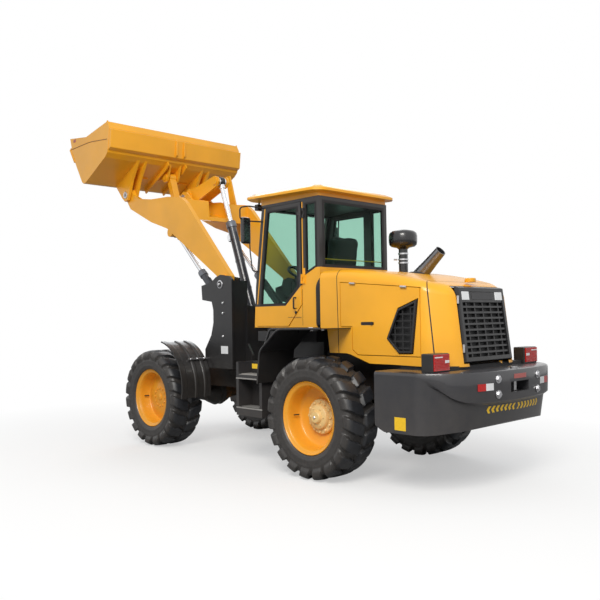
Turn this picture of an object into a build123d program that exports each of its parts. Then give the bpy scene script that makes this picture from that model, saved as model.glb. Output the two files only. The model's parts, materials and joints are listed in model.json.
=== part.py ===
"""Compact articulated wheel loader with a Z-bar bucket linkage.

Frame: +X forward, +Y to the machine's left, +Z up, millimetres.
The origin is on the ground under the articulation hinge, midway between the axles.
The machine stands straight, arms raised and bucket rolled back.
"""
from build123d import *
import math
import os

os.makedirs("parts", exist_ok=True)

# ---------------------------------------------------------------- driving dimensions
WHEELBASE = 2780            # axle to axle
TRACK = 1660                # tyre centre planes, left to right
TYRE_DIA = 1170             # to the tips of the lugs
TYRE_WIDTH = 420
LUG_HEIGHT = 30
RIM_LIP_DIA = 690
BEAD_DIA = 612              # where the tyre's bead sits on the rim
RIM_HALF = 176              # rim lip from the tyre's centre plane

BUCKET_WIDTH = 2180
BUCKET_PLATE = 16           # sheet of the bucket
ARM_MID = 535               # middle plane of a lift arm, from the centre line
ARM_THICK = 60
CLEAR = 5                   # between pieces that move past each other
PIN_FIT = 0.3               # radial room round a pin

CAB_HALF = 540              # outer face of the cab's side
CAB_WALL = 40
CAB_FLOOR = 1440
CAB_TOP = 2800
GLASS = 6

HOOD_HALF = 620
HOOD_SHEET = 20
WEIGHT_HALF = 960           # half-width of the counterweight

AXLE_X = WHEELBASE / 2
AXLE_Z = TYRE_DIA / 2
WHEEL_Y = TRACK / 2

# ---------------------------------------------------------------- linkage points (x, z)
BOOM_PIVOT = (470, 1950)
CRANK_PIVOT = (1864, 3219)
CRANK_TOP = (1240, 3350)        # eye of the tilt cylinder's rod
CRANK_FOOT = (2155, 2875)       # lower pin of the tilt link
LINK_TOP = (2417, 3584)         # upper pin of the tilt link, on the bucket
BUCKET_HINGE = (2630, 3300)
TILT_FOOT = (620, 1635)         # tilt cylinder's pin on the tower
LIFT_FOOT = (410, 1500)         # lift cylinder's pin on the tower
LIFT_EYE = (1600, 2678)         # lift cylinder's pin on the arm

LIFT_MID = 455                  # middle plane of a lift cylinder
LIFT_BARREL_R = 45
LIFT_ROD_R = 27
TILT_BARREL_R = 58
TILT_ROD_R = 33
PIN_R = 32
EYE_R = 58

# steering cylinders: pins on the rear and the front frame (x, y), at this height
STEER_Z = 800
STEER_REAR = (-420, 190)
STEER_FRONT = (170, 285)
STEER_BARREL_R = 34
STEER_ROD_R = 18
STEER_EAR = 16              # plate of their clevises
STEER_GAP = 38              # half the opening between the clevis plates


# ---------------------------------------------------------------- shared helpers
def side_plate(points, y_from, y_to, mode=Mode.ADD):
    """Plate whose outline lies in X-Z, from y_from to y_to."""
    with BuildSketch(Plane.XZ.offset(-y_to)) as outline:
        with BuildLine():
            Polyline(*points, close=True)
        make_face()
    extrude(outline.sketch, amount=y_to - y_from, mode=mode)


def top_plate(points, z_from, z_to, mode=Mode.ADD):
    """Plate whose outline lies in X-Y, from z_from to z_to."""
    with BuildSketch(Plane.XY.offset(z_from)) as outline:
        with BuildLine():
            Polyline(*points, close=True)
        make_face()
    extrude(outline.sketch, amount=z_to - z_from, mode=mode)


def front_plate(points, x_from, x_to, mode=Mode.ADD):
    """Plate whose outline lies in Y-Z, from x_from to x_to."""
    with BuildSketch(Plane.YZ.offset(x_from)) as outline:
        with BuildLine():
            Polyline(*points, close=True)
        make_face()
    extrude(outline.sketch, amount=x_to - x_from, mode=mode)


def block(x, y, z, mode=Mode.ADD):
    """Box given by its limits along each axis."""
    with Locations(((x[0] + x[1]) / 2, (y[0] + y[1]) / 2, (z[0] + z[1]) / 2)):
        Box(x[1] - x[0], y[1] - y[0], z[1] - z[0], mode=mode)


def pin_across(at, radius, y_from, y_to, mode=Mode.ADD):
    """Round bar along Y through the X-Z point `at`."""
    with Locations((at[0], (y_from + y_to) / 2, at[1])):
        Cylinder(radius, y_to - y_from, rotation=(90, 0, 0), mode=mode)


def pin_up(at, radius, z_from, z_to, mode=Mode.ADD):
    """Round bar along Z through the X-Y point `at`."""
    with Locations((at[0], at[1], (z_from + z_to) / 2)):
        Cylinder(radius, z_to - z_from, mode=mode)


def along(start, end, distance):
    """The 2-D point a distance along the line from start to end."""
    length = math.dist(start, end)
    share = distance / length
    return (start[0] + (end[0] - start[0]) * share, start[1] + (end[1] - start[1]) * share)


def line_plane(start, end, y, distance=0.0):
    """Plane across the X-Z line from start to end, its normal along the line."""
    point = along(start, end, distance)
    way = (end[0] - start[0], 0, end[1] - start[1])
    return Plane(origin=(point[0], y, point[1]), x_dir=(0, 1, 0), z_dir=way)


def round_bar(plane, radius, length, mode=Mode.ADD):
    """Round bar that starts on a plane and runs along its normal."""
    with BuildSketch(plane) as section:
        Circle(radius)
    extrude(section.sketch, amount=length, mode=mode)


KNUCKLE_R = 11
HINGE_PIN = 6
LEAF = 8


def knuckle(plane, low, high):
    """Round knuckle on a hinge's axis plane, between two distances along it."""
    with BuildSketch(plane.offset(low)) as ring:
        Circle(KNUCKLE_R)
    extrude(ring.sketch, amount=high - low)


def leaf(plane, low, high, reach, shift):
    """Flat leaf that reaches from a hinge's axis along its plane's x direction."""
    with BuildSketch(plane.offset(low)) as strip:
        with Locations((reach / 2, shift)):
            Rectangle(abs(reach), LEAF)
    extrude(strip.sketch, amount=high - low)


def fixed_hinge(plane, reach, shift):
    """Pin with its two end knuckles and their leaves, on the side that stands still."""
    for low, high in ((-50, -20), (20, 50)):
        knuckle(plane, low, high)
        leaf(plane, low, high, reach, shift)
    round_bar(plane.offset(-50), HINGE_PIN, 100)


def moving_hinge(plane, reach, shift):
    """Middle knuckle, bored for the pin, and its leaf, on the door's side."""
    knuckle(plane, -19, 19)
    leaf(plane, -19, 19, reach, shift)
    round_bar(plane.offset(-60), HINGE_PIN + PIN_FIT, 120, mode=Mode.SUBTRACT)


def save(name, piece):
    """Name a finished piece and write it as one STEP file."""
    piece.label = name
    export_step(piece, "parts/" + name + ".step")


# ================================================================ wheels
HUB_R = 128
DISC_INNER = -30            # rim's centre disc, from the tyre's centre plane
DISC_OUTER = -12
HUB_FACE = 95               # how far the planetary hub stands out
SPINDLE_R = 60
SPINDLE_END = WHEEL_Y - 190  # spindle's end plane before the hub's back
tyre_r = TYRE_DIA / 2
carcass_r = tyre_r - LUG_HEIGHT
lip_r = RIM_LIP_DIA / 2
bead_r = BEAD_DIA / 2


def tyre_section():
    """Half outline of the tyre: radius against distance from the centre plane."""
    half = TYRE_WIDTH / 2
    return [
        (bead_r + PIN_FIT, 0),
        (bead_r + PIN_FIT, RIM_HALF - 14),
        (lip_r, RIM_HALF - 14),
        (lip_r + 55, half - 6),
        (carcass_r - 70, half),
        (carcass_r - 12, half - 26),
        (carcass_r, half - 70),
        (carcass_r + 6, 0),
    ]


LUGS = 16
LUG_THICK = 62


def make_tyre():
    half = tyre_section()
    outline = [(r, -w) for r, w in reversed(half)] + half[1:-1]
    with BuildPart() as tyre:
        with BuildSketch(Plane.XY) as section:
            with BuildLine():
                Polyline(*outline, close=True)
            make_face()
        revolve(section.sketch, axis=Axis.Y)
        for side, shift in ((1, 0.0), (-1, 0.5)):
            for count in range(LUGS):
                turn = 360 * (count + shift) / LUGS
                lug_base = Plane(origin=(0, 0, 0), x_dir=(1, 0, 0), z_dir=(0, 0, 1))
                lug_plane = lug_base.rotated((0, turn, 0)).offset(carcass_r - 30)
                with BuildSketch(lug_plane) as foot:
                    with BuildLine():
                        Polyline(
                            (-LUG_THICK / 2, side * -12),
                            (LUG_THICK / 2, side * -12),
                            (LUG_THICK / 2 + 70, side * (TYRE_WIDTH / 2 - 2)),
                            (-LUG_THICK / 2 + 60, side * (TYRE_WIDTH / 2 - 2)),
                            close=True,
                        )
                    make_face()
                extrude(foot.sketch, amount=LUG_HEIGHT + 30)
        with BuildSketch(Plane.XY) as trim:
            with BuildLine():
                Polyline(
                    (tyre_r, -TYRE_WIDTH / 2 + 30),
                    (tyre_r - 40, -TYRE_WIDTH / 2 - 10),
                    (tyre_r + 80, -TYRE_WIDTH / 2 - 10),
                    (tyre_r + 80, TYRE_WIDTH / 2 + 10),
                    (tyre_r - 40, TYRE_WIDTH / 2 + 10),
                    (tyre_r, TYRE_WIDTH / 2 - 30),
                    close=True,
                )
            make_face()
        revolve(trim.sketch, axis=Axis.Y, mode=Mode.SUBTRACT)
    return tyre.part


def make_rim():
    """Rim, centre disc and planetary hub; the outboard side is +Y."""
    with BuildPart() as rim:
        with BuildSketch(Plane.XY) as section:
            with BuildLine():
                Polyline(
                    (bead_r, -RIM_HALF + 12),
                    (lip_r, -RIM_HALF + 12),
                    (lip_r, -RIM_HALF),
                    (bead_r - 12, -RIM_HALF),
                    (bead_r - 12, -70),
                    (bead_r - 60, DISC_INNER),
                    (HUB_R, DISC_INNER),
                    (HUB_R, DISC_INNER - 60),
                    (SPINDLE_R + PIN_FIT, DISC_INNER - 60),
                    (SPINDLE_R + PIN_FIT, 40),
                    (0, 40),
                    (0, HUB_FACE),
                    (HUB_R - 45, HUB_FACE),
                    (HUB_R - 30, HUB_FACE - 12),
                    (HUB_R, 20),
                    (HUB_R + 42, DISC_OUTER + 8),
                    (HUB_R + 42, DISC_OUTER),
                    (bead_r - 60, DISC_OUTER),
                    (bead_r - 40, 0),
                    (bead_r - 12, RIM_HALF),
                    (lip_r, RIM_HALF),
                    (lip_r, RIM_HALF - 12),
                    (bead_r, RIM_HALF - 12),
                    close=True,
                )
            make_face()
        revolve(section.sketch, axis=Axis.Y)
    return rim.part


# name, axle side (+1 front), machine side (+1 left)
WHEELS = (
    ("front_left", 1, 1),
    ("front_right", 1, -1),
    ("rear_left", -1, 1),
    ("rear_right", -1, -1),
)
one_tyre = make_tyre()
one_rim = make_rim()
for name, along_x, side in WHEELS:
    spot = Location((along_x * AXLE_X, side * WHEEL_Y, AXLE_Z))
    turn = Location((0, 0, 0), (0, 0, 0 if side > 0 else 180))
    save("tyre_" + name, spot * turn * one_tyre)
    save("rim_" + name, spot * turn * one_rim)


# ================================================================ axles
AXLE_TUBE_R = 85
DIFF_R = 172
DIFF_ROOM = 195             # half-width of the frame's cut-out over the casing


def make_axle():
    """Rigid axle: differential casing, tapering tubes and wheel spindles."""
    tube_end = WHEEL_Y + DISC_INNER - 60 - CLEAR
    with BuildPart() as axle:
        with BuildSketch(Plane.XY) as section:
            with BuildLine():
                Polyline(
                    (0, 0),
                    (DIFF_R - 10, 0),
                    (DIFF_R, 40),
                    (DIFF_R - 40, 130),
                    (AXLE_TUBE_R + 20, 180),
                    (AXLE_TUBE_R, 260),
                    (AXLE_TUBE_R - 8, tube_end - 40),
                    (HUB_R - 10, tube_end - 30),
                    (HUB_R - 10, tube_end),
                    (SPINDLE_R, tube_end),
                    (SPINDLE_R, WHEEL_Y + 30),
                    (0, WHEEL_Y + 30),
                    close=True,
                )
            make_face()
        revolve(section.sketch, axis=Axis.Y)
        mirror(about=Plane.XZ)
        block((-75, 75), (210, 330), (40, PAD_TOP - AXLE_Z))
        block((-75, 75), (-330, -210), (40, PAD_TOP - AXLE_Z))
    return axle.part


PAD_TOP = 720               # where the frames sit on the axles
axle = make_axle()
save("front_axle", Location((AXLE_X, 0, AXLE_Z)) * axle)
save("rear_axle", Location((-AXLE_X, 0, AXLE_Z)) * axle)

# ================================================================ front frame
EAR_OUTER = (585, 615)      # outer plate of the tower
EAR_INNER = (465, 495)      # lug inside the arm's root
POST = (360, 390)           # inner plate of the tower, full height
WEB_X = 305                 # front face of the tower's rear web
FRAME_PLATE = 30
HINGE_PIN_R = 40
NOSE_X = 1475               # front end of the frame
LUG_UPPER = (985, 1035)     # front frame's hinge lugs, between the rear frame's forks
LUG_LOWER = (560, 610)
CHEEK = (80, 110)           # plates beside the tilt cylinder's foot

with BuildPart() as front_frame:
    side_plate(
        [
            (250, 960), (250, 2000), (300, 2040), (470, 2063), (560, 2035), (640, 1985),
            (845, 1947), (830, 1775), (640, 1748), (610, 1650), (610, 1500), (655, 1350),
            (780, 1180), (780, 960),
        ],
        *EAR_OUTER,
    )
    side_plate(
        [
            (160, PAD_TOP), (160, 1110), (250, 1250), (250, 1700), (500, 1720),
            (560, 1600), (640, 1350), (900, 1080), (NOSE_X - 60, 1010), (NOSE_X, 940), (NOSE_X, PAD_TOP),
        ],
        *POST,
    )
    side_plate(
        [(275, 1770), (275, 2020), (470, 2060), (560, 2030), (590, 1940), (540, 1850), (400, 1790)],
        *EAR_INNER,
    )
    mirror(about=Plane.XZ)
    # rear web and the cheeks' closing plates
    front_plate(
        [(-EAR_OUTER[1], 960), (-EAR_OUTER[1], 1990), (-POST[0], 1990), (-POST[0], 1690),
         (POST[0], 1690), (POST[0], 1990), (EAR_OUTER[1], 1990), (EAR_OUTER[1], 960)],
        WEB_X - FRAME_PLATE, WEB_X,
    )
    # bottom plate, cross plates and the tilt cylinder's clevis
    top_plate(
        [(160, -POST[1]), (160, POST[1]), (NOSE_X, POST[1]), (NOSE_X, -POST[1])],
        PAD_TOP, PAD_TOP + FRAME_PLATE,
    )
    block((600, 600 + FRAME_PLATE), (-POST[0], POST[0]), (PAD_TOP + FRAME_PLATE, 1420))
    block((NOSE_X - FRAME_PLATE, NOSE_X), (-POST[0], POST[0]), (PAD_TOP + FRAME_PLATE, 940))
    for cheek_from in (-CHEEK[1], CHEEK[0]):
        side_plate(
            [(250, 1420), (250, 1690), (600, 1700), (690, 1680), (700, 1600), (630, 1420)],
            cheek_from, cheek_from + FRAME_PLATE,
        )
    # room for the tilt cylinder's foot, which sinks between the cheeks as the bucket dumps
    block((600, 600 + FRAME_PLATE), (-CHEEK[0], CHEEK[0]), (1270, 1421), mode=Mode.SUBTRACT)
    block((WEB_X - FRAME_PLATE, WEB_X), (-CHEEK[0], CHEEK[0]), (1590, 1770), mode=Mode.SUBTRACT)
    # hinge lugs reach back over the origin
    for low, high in (LUG_UPPER, LUG_LOWER):
        top_plate(
            [(160, -260), (60, -120), (-60, -90), (-60, 90), (60, 120), (160, 260), (240, 260),
             (240, -260)],
            low, high,
        )
        pin_up((0, 0), 95, low, high)
        pin_up((0, 0), HINGE_PIN_R + PIN_FIT, low - 1, high + 1, mode=Mode.SUBTRACT)
    for side in (-1, 1):
        block((215, 245), (side * 200 - 15, side * 200 + 15), (LUG_LOWER[0], LUG_UPPER[1]))
        # clevis of the steering cylinder, on the inner face of the post
        y = sorted((side * (STEER_FRONT[1] - 45), side * POST[0]))
        for z in (STEER_Z - STEER_GAP - STEER_EAR, STEER_Z + STEER_GAP):
            block((STEER_FRONT[0] - 10, STEER_FRONT[0] + 90), y, (z, z + STEER_EAR))
    # room for the axle's differential casing
    with Locations((AXLE_X, 0, AXLE_Z)):
        Cylinder(DIFF_R + CLEAR, 2 * DIFF_ROOM, rotation=(90, 0, 0), mode=Mode.SUBTRACT)
    # bores
    pin_across(BOOM_PIVOT, PIN_R + 4, -EAR_OUTER[1] - 1, EAR_OUTER[1] + 1, mode=Mode.SUBTRACT)
    # pins carried by the tower
    for side in (-1, 1):
        near, far = sorted((side * EAR_INNER[0], side * (EAR_OUTER[1] + 12)))
        pin_across(BOOM_PIVOT, PIN_R + 4, near, far)
        near, far = sorted((side * POST[1], side * EAR_OUTER[0]))
        pin_across(LIFT_FOOT, PIN_R, near, far)
        near, far = sorted((side * CHEEK[0], side * (CHEEK[1] + 14)))
        pin_across(TILT_FOOT, PIN_R + 10, near, far)
save("front_frame", front_frame.part)

# ================================================================ boom
ARM = (ARM_MID - ARM_THICK / 2, ARM_MID + ARM_THICK / 2)
BRACKET = (140, 168)        # crank bracket plates on the cross beam
CRANK = (66, 92)            # bell crank plates
LINK_HALF = 50
POST_BAR = 25               # upright bar on the right arm, across

with BuildPart() as boom:
    side_plate(
        [
            (360, 1860), (330, 2045), (1225, 3017), (1339, 3104), (1640, 3150), (2045, 3169),
            (2350, 3215), (2504, 3288), (2560, 3372), (2660, 3380), (2712, 3320), (2690, 3240),
            (2583, 3101), (2051, 2860), (1669, 2737), (603, 2060), (570, 1870), (470, 1835),
        ],
        *ARM,
    )
    pin_across(BOOM_PIVOT, 120, ARM[0] - 5, ARM[1] + 15)
    pin_across(LIFT_EYE, EYE_R, *ARM)
    # the cross beam is a box turned with the arms, shallow in the middle, where the crank dips
    side_plate([(1300, 2835), (1322, 3088), (1590, 3128), (1575, 2875)], BRACKET[0], ARM[0])
    side_plate([(1300, 2835), (1306, 2884), (1582, 2964), (1575, 2875)], 0, BRACKET[0])
    side_plate(
        [
            (1316, 2850), (1330, 3095), (1440, 3120), (1640, 3140), (1790, 3270), (1864, 3290),
            (1930, 3250), (1935, 3170), (1860, 3120), (1640, 2870),
        ],
        *BRACKET,
    )
    mirror(about=Plane.XZ)
    side_plate([(1560, 3100), (1703, 3565), (1785, 3565), (1690, 3100)], -ARM[0] - POST_BAR, -ARM[0])
    pin_across(BOOM_PIVOT, PIN_R + 4 + PIN_FIT, -700, 700, mode=Mode.SUBTRACT)
    pin_across(BUCKET_HINGE, PIN_R + PIN_FIT, -700, 700, mode=Mode.SUBTRACT)
    pin_across(CRANK_PIVOT, PIN_R + PIN_FIT, -300, 300, mode=Mode.SUBTRACT)
save("boom", boom.part)

# ================================================================ bell crank and tilt link
with BuildPart() as crank_pin:
    pin_across(CRANK_PIVOT, PIN_R, -BRACKET[1] - 14, BRACKET[1] + 14)
save("crank_pin", crank_pin.part)

with BuildPart() as bell_crank:
    side_plate(
        [
            (1215, 3285), (1170, 3340), (1190, 3400), (1260, 3425), (1700, 3325), (1864, 3330),
            (1960, 3260), (2225, 2900), (2215, 2830), (2150, 2800), (2085, 2830), (1850, 3060),
            (1700, 3120),
        ],
        *CRANK,
    )
    mirror(about=Plane.XZ)
    # spacer tube between the two plates, round the pivot pin
    pin_across(CRANK_PIVOT, 80, -CRANK[1] - 10, CRANK[1] + 10)
    pin_across(CRANK_PIVOT, PIN_R + PIN_FIT, -300, 300, mode=Mode.SUBTRACT)
    pin_across(CRANK_FOOT, PIN_R + PIN_FIT, -300, 300, mode=Mode.SUBTRACT)
    for side in (-1, 1):
        near, far = sorted((side * CRANK[1], side * (CRANK[1] + 14)))
        pin_across(CRANK_TOP, 45, near, far)
save("bell_crank", bell_crank.part)

with BuildPart() as link_pin:
    pin_across(CRANK_FOOT, PIN_R, -CRANK[1] - 12, CRANK[1] + 12)
save("link_pin", link_pin.part)

CLEVIS = (70, 98)           # bucket ears that hold the link's upper pin

with BuildPart() as tilt_link:
    link_long = math.dist(CRANK_FOOT, LINK_TOP)
    pin_across(CRANK_FOOT, 62, -LINK_HALF, LINK_HALF)
    pin_across(LINK_TOP, EYE_R, -LINK_HALF, LINK_HALF)
    with BuildSketch(line_plane(CRANK_FOOT, LINK_TOP, 0)) as web:
        Rectangle(2 * LINK_HALF, 78)
    extrude(web.sketch, amount=link_long)
    pin_across(LINK_TOP, PIN_R, -CLEVIS[0] + PIN_FIT, CLEVIS[0] - PIN_FIT)
    pin_across(CRANK_FOOT, PIN_R + PIN_FIT, -300, 300, mode=Mode.SUBTRACT)
save("tilt_link", tilt_link.part)

# ================================================================ bucket
BUCKET_PROFILE = [          # closed outline from the lip round the heel to the top edge
    (3335, 4010), (2985, 3480), (2940, 3450), (2885, 3452), (2330, 3715), (2262, 3770),
    (2240, 3830), (2207, 4090), (2256, 4180),
]
MOUTH = [(3290, 4180), (3335, 4010), (3312, 3990), (2539, 4035), (2262, 4150), (2256, 4260)]
EAR_IN = (455, 495)         # ears either side of an arm's tip
EAR_OUT = (575, 615)
bucket_half = BUCKET_WIDTH / 2

with BuildPart() as bucket:
    side_plate(BUCKET_PROFILE, -bucket_half, bucket_half)
    with BuildSketch(Plane.XZ.offset(-(bucket_half - BUCKET_PLATE))) as hollow:
        with BuildLine():
            Polyline(*BUCKET_PROFILE, close=True)
        make_face()
        offset(amount=-BUCKET_PLATE, kind=Kind.INTERSECTION)
    extrude(hollow.sketch, amount=BUCKET_WIDTH - 2 * BUCKET_PLATE, mode=Mode.SUBTRACT)
    side_plate(
        [(3312, 3990), (3335, 4300), (2256, 4300), (2262, 4135), (2300, 4080)],
        -bucket_half + BUCKET_PLATE, bucket_half - BUCKET_PLATE, mode=Mode.SUBTRACT,
    )
    # raised parts of the two end plates
    for side in (-1, 1):
        near, far = sorted((side * (bucket_half - BUCKET_PLATE), side * bucket_half))
        side_plate([(3250, 3890), (3335, 4150), (2539, 4043), (2256, 4193), (2300, 4000)], near, far)
    # cutting edge under the lip
    side_plate(
        [(3345, 3985), (3210, 3787), (3190, 3800), (3325, 4000)],
        -bucket_half - 6, bucket_half + 6,
    )
    for ear in (EAR_IN, EAR_OUT):
        side_plate(
            [
                (2300, 3740), (2470, 3480), (2540, 3300), (2580, 3225), (2650, 3210),
                (2715, 3260), (2880, 3440), (2890, 3460),
            ],
            *ear,
        )
    side_plate(
        [(2290, 3745), (2345, 3580), (2380, 3520), (2440, 3510), (2490, 3560), (2700, 3560)],
        *CLEVIS,
    )
    pin_across(LINK_TOP, 45, CLEVIS[1], CLEVIS[1] + 14)
    mirror(about=Plane.XZ)
    pin_across(BUCKET_HINGE, PIN_R + PIN_FIT, -700, 700, mode=Mode.SUBTRACT)
save("bucket", bucket.part)

with BuildPart() as bucket_pins:
    pin_across(BUCKET_HINGE, PIN_R, EAR_IN[0] - 12, EAR_OUT[1] + 12)
    mirror(about=Plane.XZ)
save("bucket_pins", bucket_pins.part)


# ================================================================ cylinders
def make_barrel(foot, eye, y, radius, rod_radius, length, eye_half):
    """Barrel with its eye round the foot pin and a bored gland at the far end."""
    pin_across(foot, radius + 12, y - eye_half, y + eye_half)
    round_bar(line_plane(foot, eye, y, 10), radius, length - 70)
    round_bar(line_plane(foot, eye, y, length - 60), radius + 6, 60)
    bore = line_plane(foot, eye, y, radius + 40)
    round_bar(bore, rod_radius + PIN_FIT, length, mode=Mode.SUBTRACT)
    pin_across(foot, PIN_R + PIN_FIT, y - 200, y + 200, mode=Mode.SUBTRACT)


def make_rod(foot, eye, y, radius, start, eye_radius, eye_half, pin_half):
    """Chromed rod from inside the barrel to its eye, with the pin it carries."""
    length = math.dist(foot, eye)
    round_bar(line_plane(foot, eye, y, start), radius, length - start)
    round_bar(line_plane(foot, eye, y, length - eye_radius - 50), radius + 10, 50)
    pin_across(eye, eye_radius, y - eye_half, y + eye_half)
    pin_across(eye, PIN_R, y - pin_half, y + pin_half)


LIFT_BARREL_LONG = 905
TILT_BARREL_LONG = 1233

with BuildPart() as lift_barrels:
    make_barrel(LIFT_FOOT, LIFT_EYE, LIFT_MID, LIFT_BARREL_R, LIFT_ROD_R, LIFT_BARREL_LONG, 44)
    mirror(about=Plane.XZ)
save("lift_barrels", lift_barrels.part)

with BuildPart() as lift_rods:
    make_rod(LIFT_FOOT, LIFT_EYE, LIFT_MID, LIFT_ROD_R, 640, 50, 44, ARM[0] - LIFT_MID - PIN_FIT)
    mirror(about=Plane.XZ)
save("lift_rods", lift_rods.part)

# The foot pin travels with the barrel, between the cheeks, because the loop is open there.
with BuildPart() as tilt_trunnion:
    pin_across(TILT_FOOT, PIN_R, -CHEEK[0] + CLEAR, CHEEK[0] - CLEAR)
save("tilt_trunnion", tilt_trunnion.part)

with BuildPart() as tilt_barrel:
    make_barrel(TILT_FOOT, CRANK_TOP, 0, TILT_BARREL_R, TILT_ROD_R, TILT_BARREL_LONG, 70)
save("tilt_barrel", tilt_barrel.part)

with BuildPart() as tilt_rod:
    make_rod(TILT_FOOT, CRANK_TOP, 0, TILT_ROD_R, 700, 54, 50, CRANK[0] - PIN_FIT)
save("tilt_rod", tilt_rod.part)

# ================================================================ steering cylinders
# They lie flat, one each side of the hinge, between the two frames.


def flat_plane(start, end, z, distance=0.0):
    """Plane across the X-Y line from start to end, its normal along the line."""
    point = along(start, end, distance)
    way = (end[0] - start[0], end[1] - start[1], 0)
    return Plane(origin=(point[0], point[1], z), x_dir=(0, 0, 1), z_dir=way)


STEER_LONG = math.dist(STEER_REAR, STEER_FRONT)
STEER_BARREL_LONG = 0.62 * STEER_LONG
STEER_BORE = 44             # from the foot pin to the bore's end
STEER_INSIDE = 205          # from the foot pin to the rod's inner end

for name, side in (("left", 1), ("right", -1)):
    rear = (STEER_REAR[0], side * STEER_REAR[1])
    front = (STEER_FRONT[0], side * STEER_FRONT[1])
    with BuildPart() as steer_barrel:
        pin_up(rear, 40, STEER_Z - STEER_BARREL_R, STEER_Z + STEER_BARREL_R)
        round_bar(flat_plane(rear, front, STEER_Z, 10), STEER_BARREL_R, STEER_BARREL_LONG - 10)
        round_bar(
            flat_plane(rear, front, STEER_Z, STEER_BORE), STEER_ROD_R + PIN_FIT, STEER_BARREL_LONG,
            mode=Mode.SUBTRACT,
        )
        pin_up(rear, 20 + PIN_FIT, STEER_Z - 60, STEER_Z + 60, mode=Mode.SUBTRACT)
    save("steer_barrel_" + name, steer_barrel.part)
    with BuildPart() as steer_rod:
        round_bar(flat_plane(rear, front, STEER_Z, STEER_INSIDE), STEER_ROD_R, STEER_LONG - STEER_INSIDE)
        pin_up(front, 34, STEER_Z - STEER_BARREL_R, STEER_Z + STEER_BARREL_R)
        pin_up(front, 18, STEER_Z - STEER_GAP + PIN_FIT, STEER_Z + STEER_GAP - PIN_FIT)
    save("steer_rod_" + name, steer_rod.part)

# ================================================================ rear frame
RAIL = (300, 330)           # long plates of the rear frame
FORK_GAP = 3                # beside the front frame's hinge lugs
FORK_PLATE = 25

with BuildPart() as rear_frame:
    side_plate(
        [
            (-180, 520), (-180, 1120), (-500, 1180), (-1250, 1180), (-2560, 1020), (-2560, PAD_TOP),
            (-900, PAD_TOP), (-620, 520),
        ],
        *RAIL,
    )
    # notch where a steering cylinder swings out
    block((-300, -170), (RAIL[0] - 1, RAIL[1] + 1), (STEER_Z - 42, STEER_Z + 42), mode=Mode.SUBTRACT)
    # tank shelf and cab mount
    block((-660, -240), (RAIL[1], 620), (1080, 1110))
    block((-1080, -150), (RAIL[0], 560), (1290, 1400))
    for x in (-250, -980):
        pin_up((x, 450), 45, 1400, CAB_FLOOR)
    block((-1000, -300), (RAIL[0], RAIL[1] + 40), (1110, 1300))
    mirror(about=Plane.XZ)
    for x in (-590, -1150, -2000):
        block((x, x + 30), (-RAIL[0], RAIL[0]), (PAD_TOP + 40, 1020))
    block((-1080, -150), (-RAIL[0], RAIL[0]), (1340, 1400))
    # forks and pins of the centre hinge
    for low, high in (LUG_UPPER, LUG_LOWER):
        for z in (low - FORK_GAP - FORK_PLATE, high + FORK_GAP):
            top_plate(
                [(-400, -RAIL[0]), (-240, -RAIL[0]), (-40, -95), (40, -70), (40, 70), (-40, 95),
                 (-240, RAIL[0]), (-400, RAIL[0])],
                z, z + FORK_PLATE,
            )
            pin_up((0, 0), 70, z, z + FORK_PLATE)
        pin_up((0, 0), HINGE_PIN_R, low - FORK_GAP - FORK_PLATE - 12, high + FORK_GAP + FORK_PLATE + 12)
    # clevises of the steering cylinders
    for side in (-1, 1):
        at = (STEER_REAR[0], side * STEER_REAR[1])
        for z in (STEER_Z - STEER_GAP - STEER_EAR, STEER_Z + STEER_GAP):
            y = sorted((side * (STEER_REAR[1] - 45), side * RAIL[0]))
            block((at[0] - 60, at[0] + 50), y, (z, z + STEER_EAR))
        pin_up(at, 20, STEER_Z - STEER_GAP - STEER_EAR, STEER_Z + STEER_GAP + STEER_EAR)
save("rear_frame", rear_frame.part)

with BuildPart() as engine_block:
    block((-2350, -1550), (-260, 260), (1060, 1660))
    block((-1700, -1300), (-180, 180), (1060, 1400))
    for x in (-2150, -1800):
        block((x - 50, x + 50), (-RAIL[0], RAIL[0]), (1020, 1060))
save("engine_block", engine_block.part)

# ================================================================ counterweight
with BuildPart() as counterweight:
    side_plate(
        [
            (-2190, 1078), (-2215, 600), (-2275, 544), (-2800, 560), (-3000, 610), (-3093, 700),
            (-3105, 850), (-3060, 980), (-2960, 1030), (-2800, 1040), (-2650, 1040),
        ],
        -WEIGHT_HALF, WEIGHT_HALF,
    )
    # the plan narrows towards the rear corners
    for side in (-1, 1):
        corner = [(-2600, 960), (-3200, 960), (-3200, 420), (-3085, 600), (-2960, 820)]
        top_plate([(x, side * y) for x, y in corner], 400, 1300, mode=Mode.SUBTRACT)
        inner = sorted((side * RAIL[1], side * RAIL[0]))
        block((-2560, -2100), inner, (400, 1300), mode=Mode.SUBTRACT)
    # room for the tyres, axle and frame in front, tow slot behind
    block((-2560, -2100), (-RAIL[0], RAIL[0]), (400, 1300), mode=Mode.SUBTRACT)
    block((-3200, -2980), (-150, 150), (870, 960), mode=Mode.SUBTRACT)
    TOW_AT = (-3040, 0)
    pin_up(TOW_AT, 20, 800, 1062, mode=Mode.SUBTRACT)
save("counterweight", counterweight.part)

# ================================================================ hood
HOOD_SIDE = [
    (-1200, 1430), (-1200, 2020), (-1700, 2005), (-2350, 1920), (-2660, 1830), (-2750, 1090),
    (-2150, 1100), (-1870, 1100), (-1590, 1190), (-1330, 1190), (-1300, 1430),
]
HOOD_TOP = HOOD_SIDE[1:4]
HOOD_PLAN = [
    (-1190, -HOOD_HALF), (-1190, HOOD_HALF), (-2480, HOOD_HALF), (-2640, 540), (-2800, 400),
    (-2800, -400), (-2640, -540), (-2480, -HOOD_HALF),
]
# side door of the hood: outline in X-Z
SIDE_DOOR = [
    (-1480, 1450), (-1480, 1880), (-2440, 1790), (-2440, 1180), (-1700, 1180), (-1632, 1230),
    (-1632, 1450),
]
REAR_DOOR = (390, 1120, 1800)   # half-width, foot and head


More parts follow.
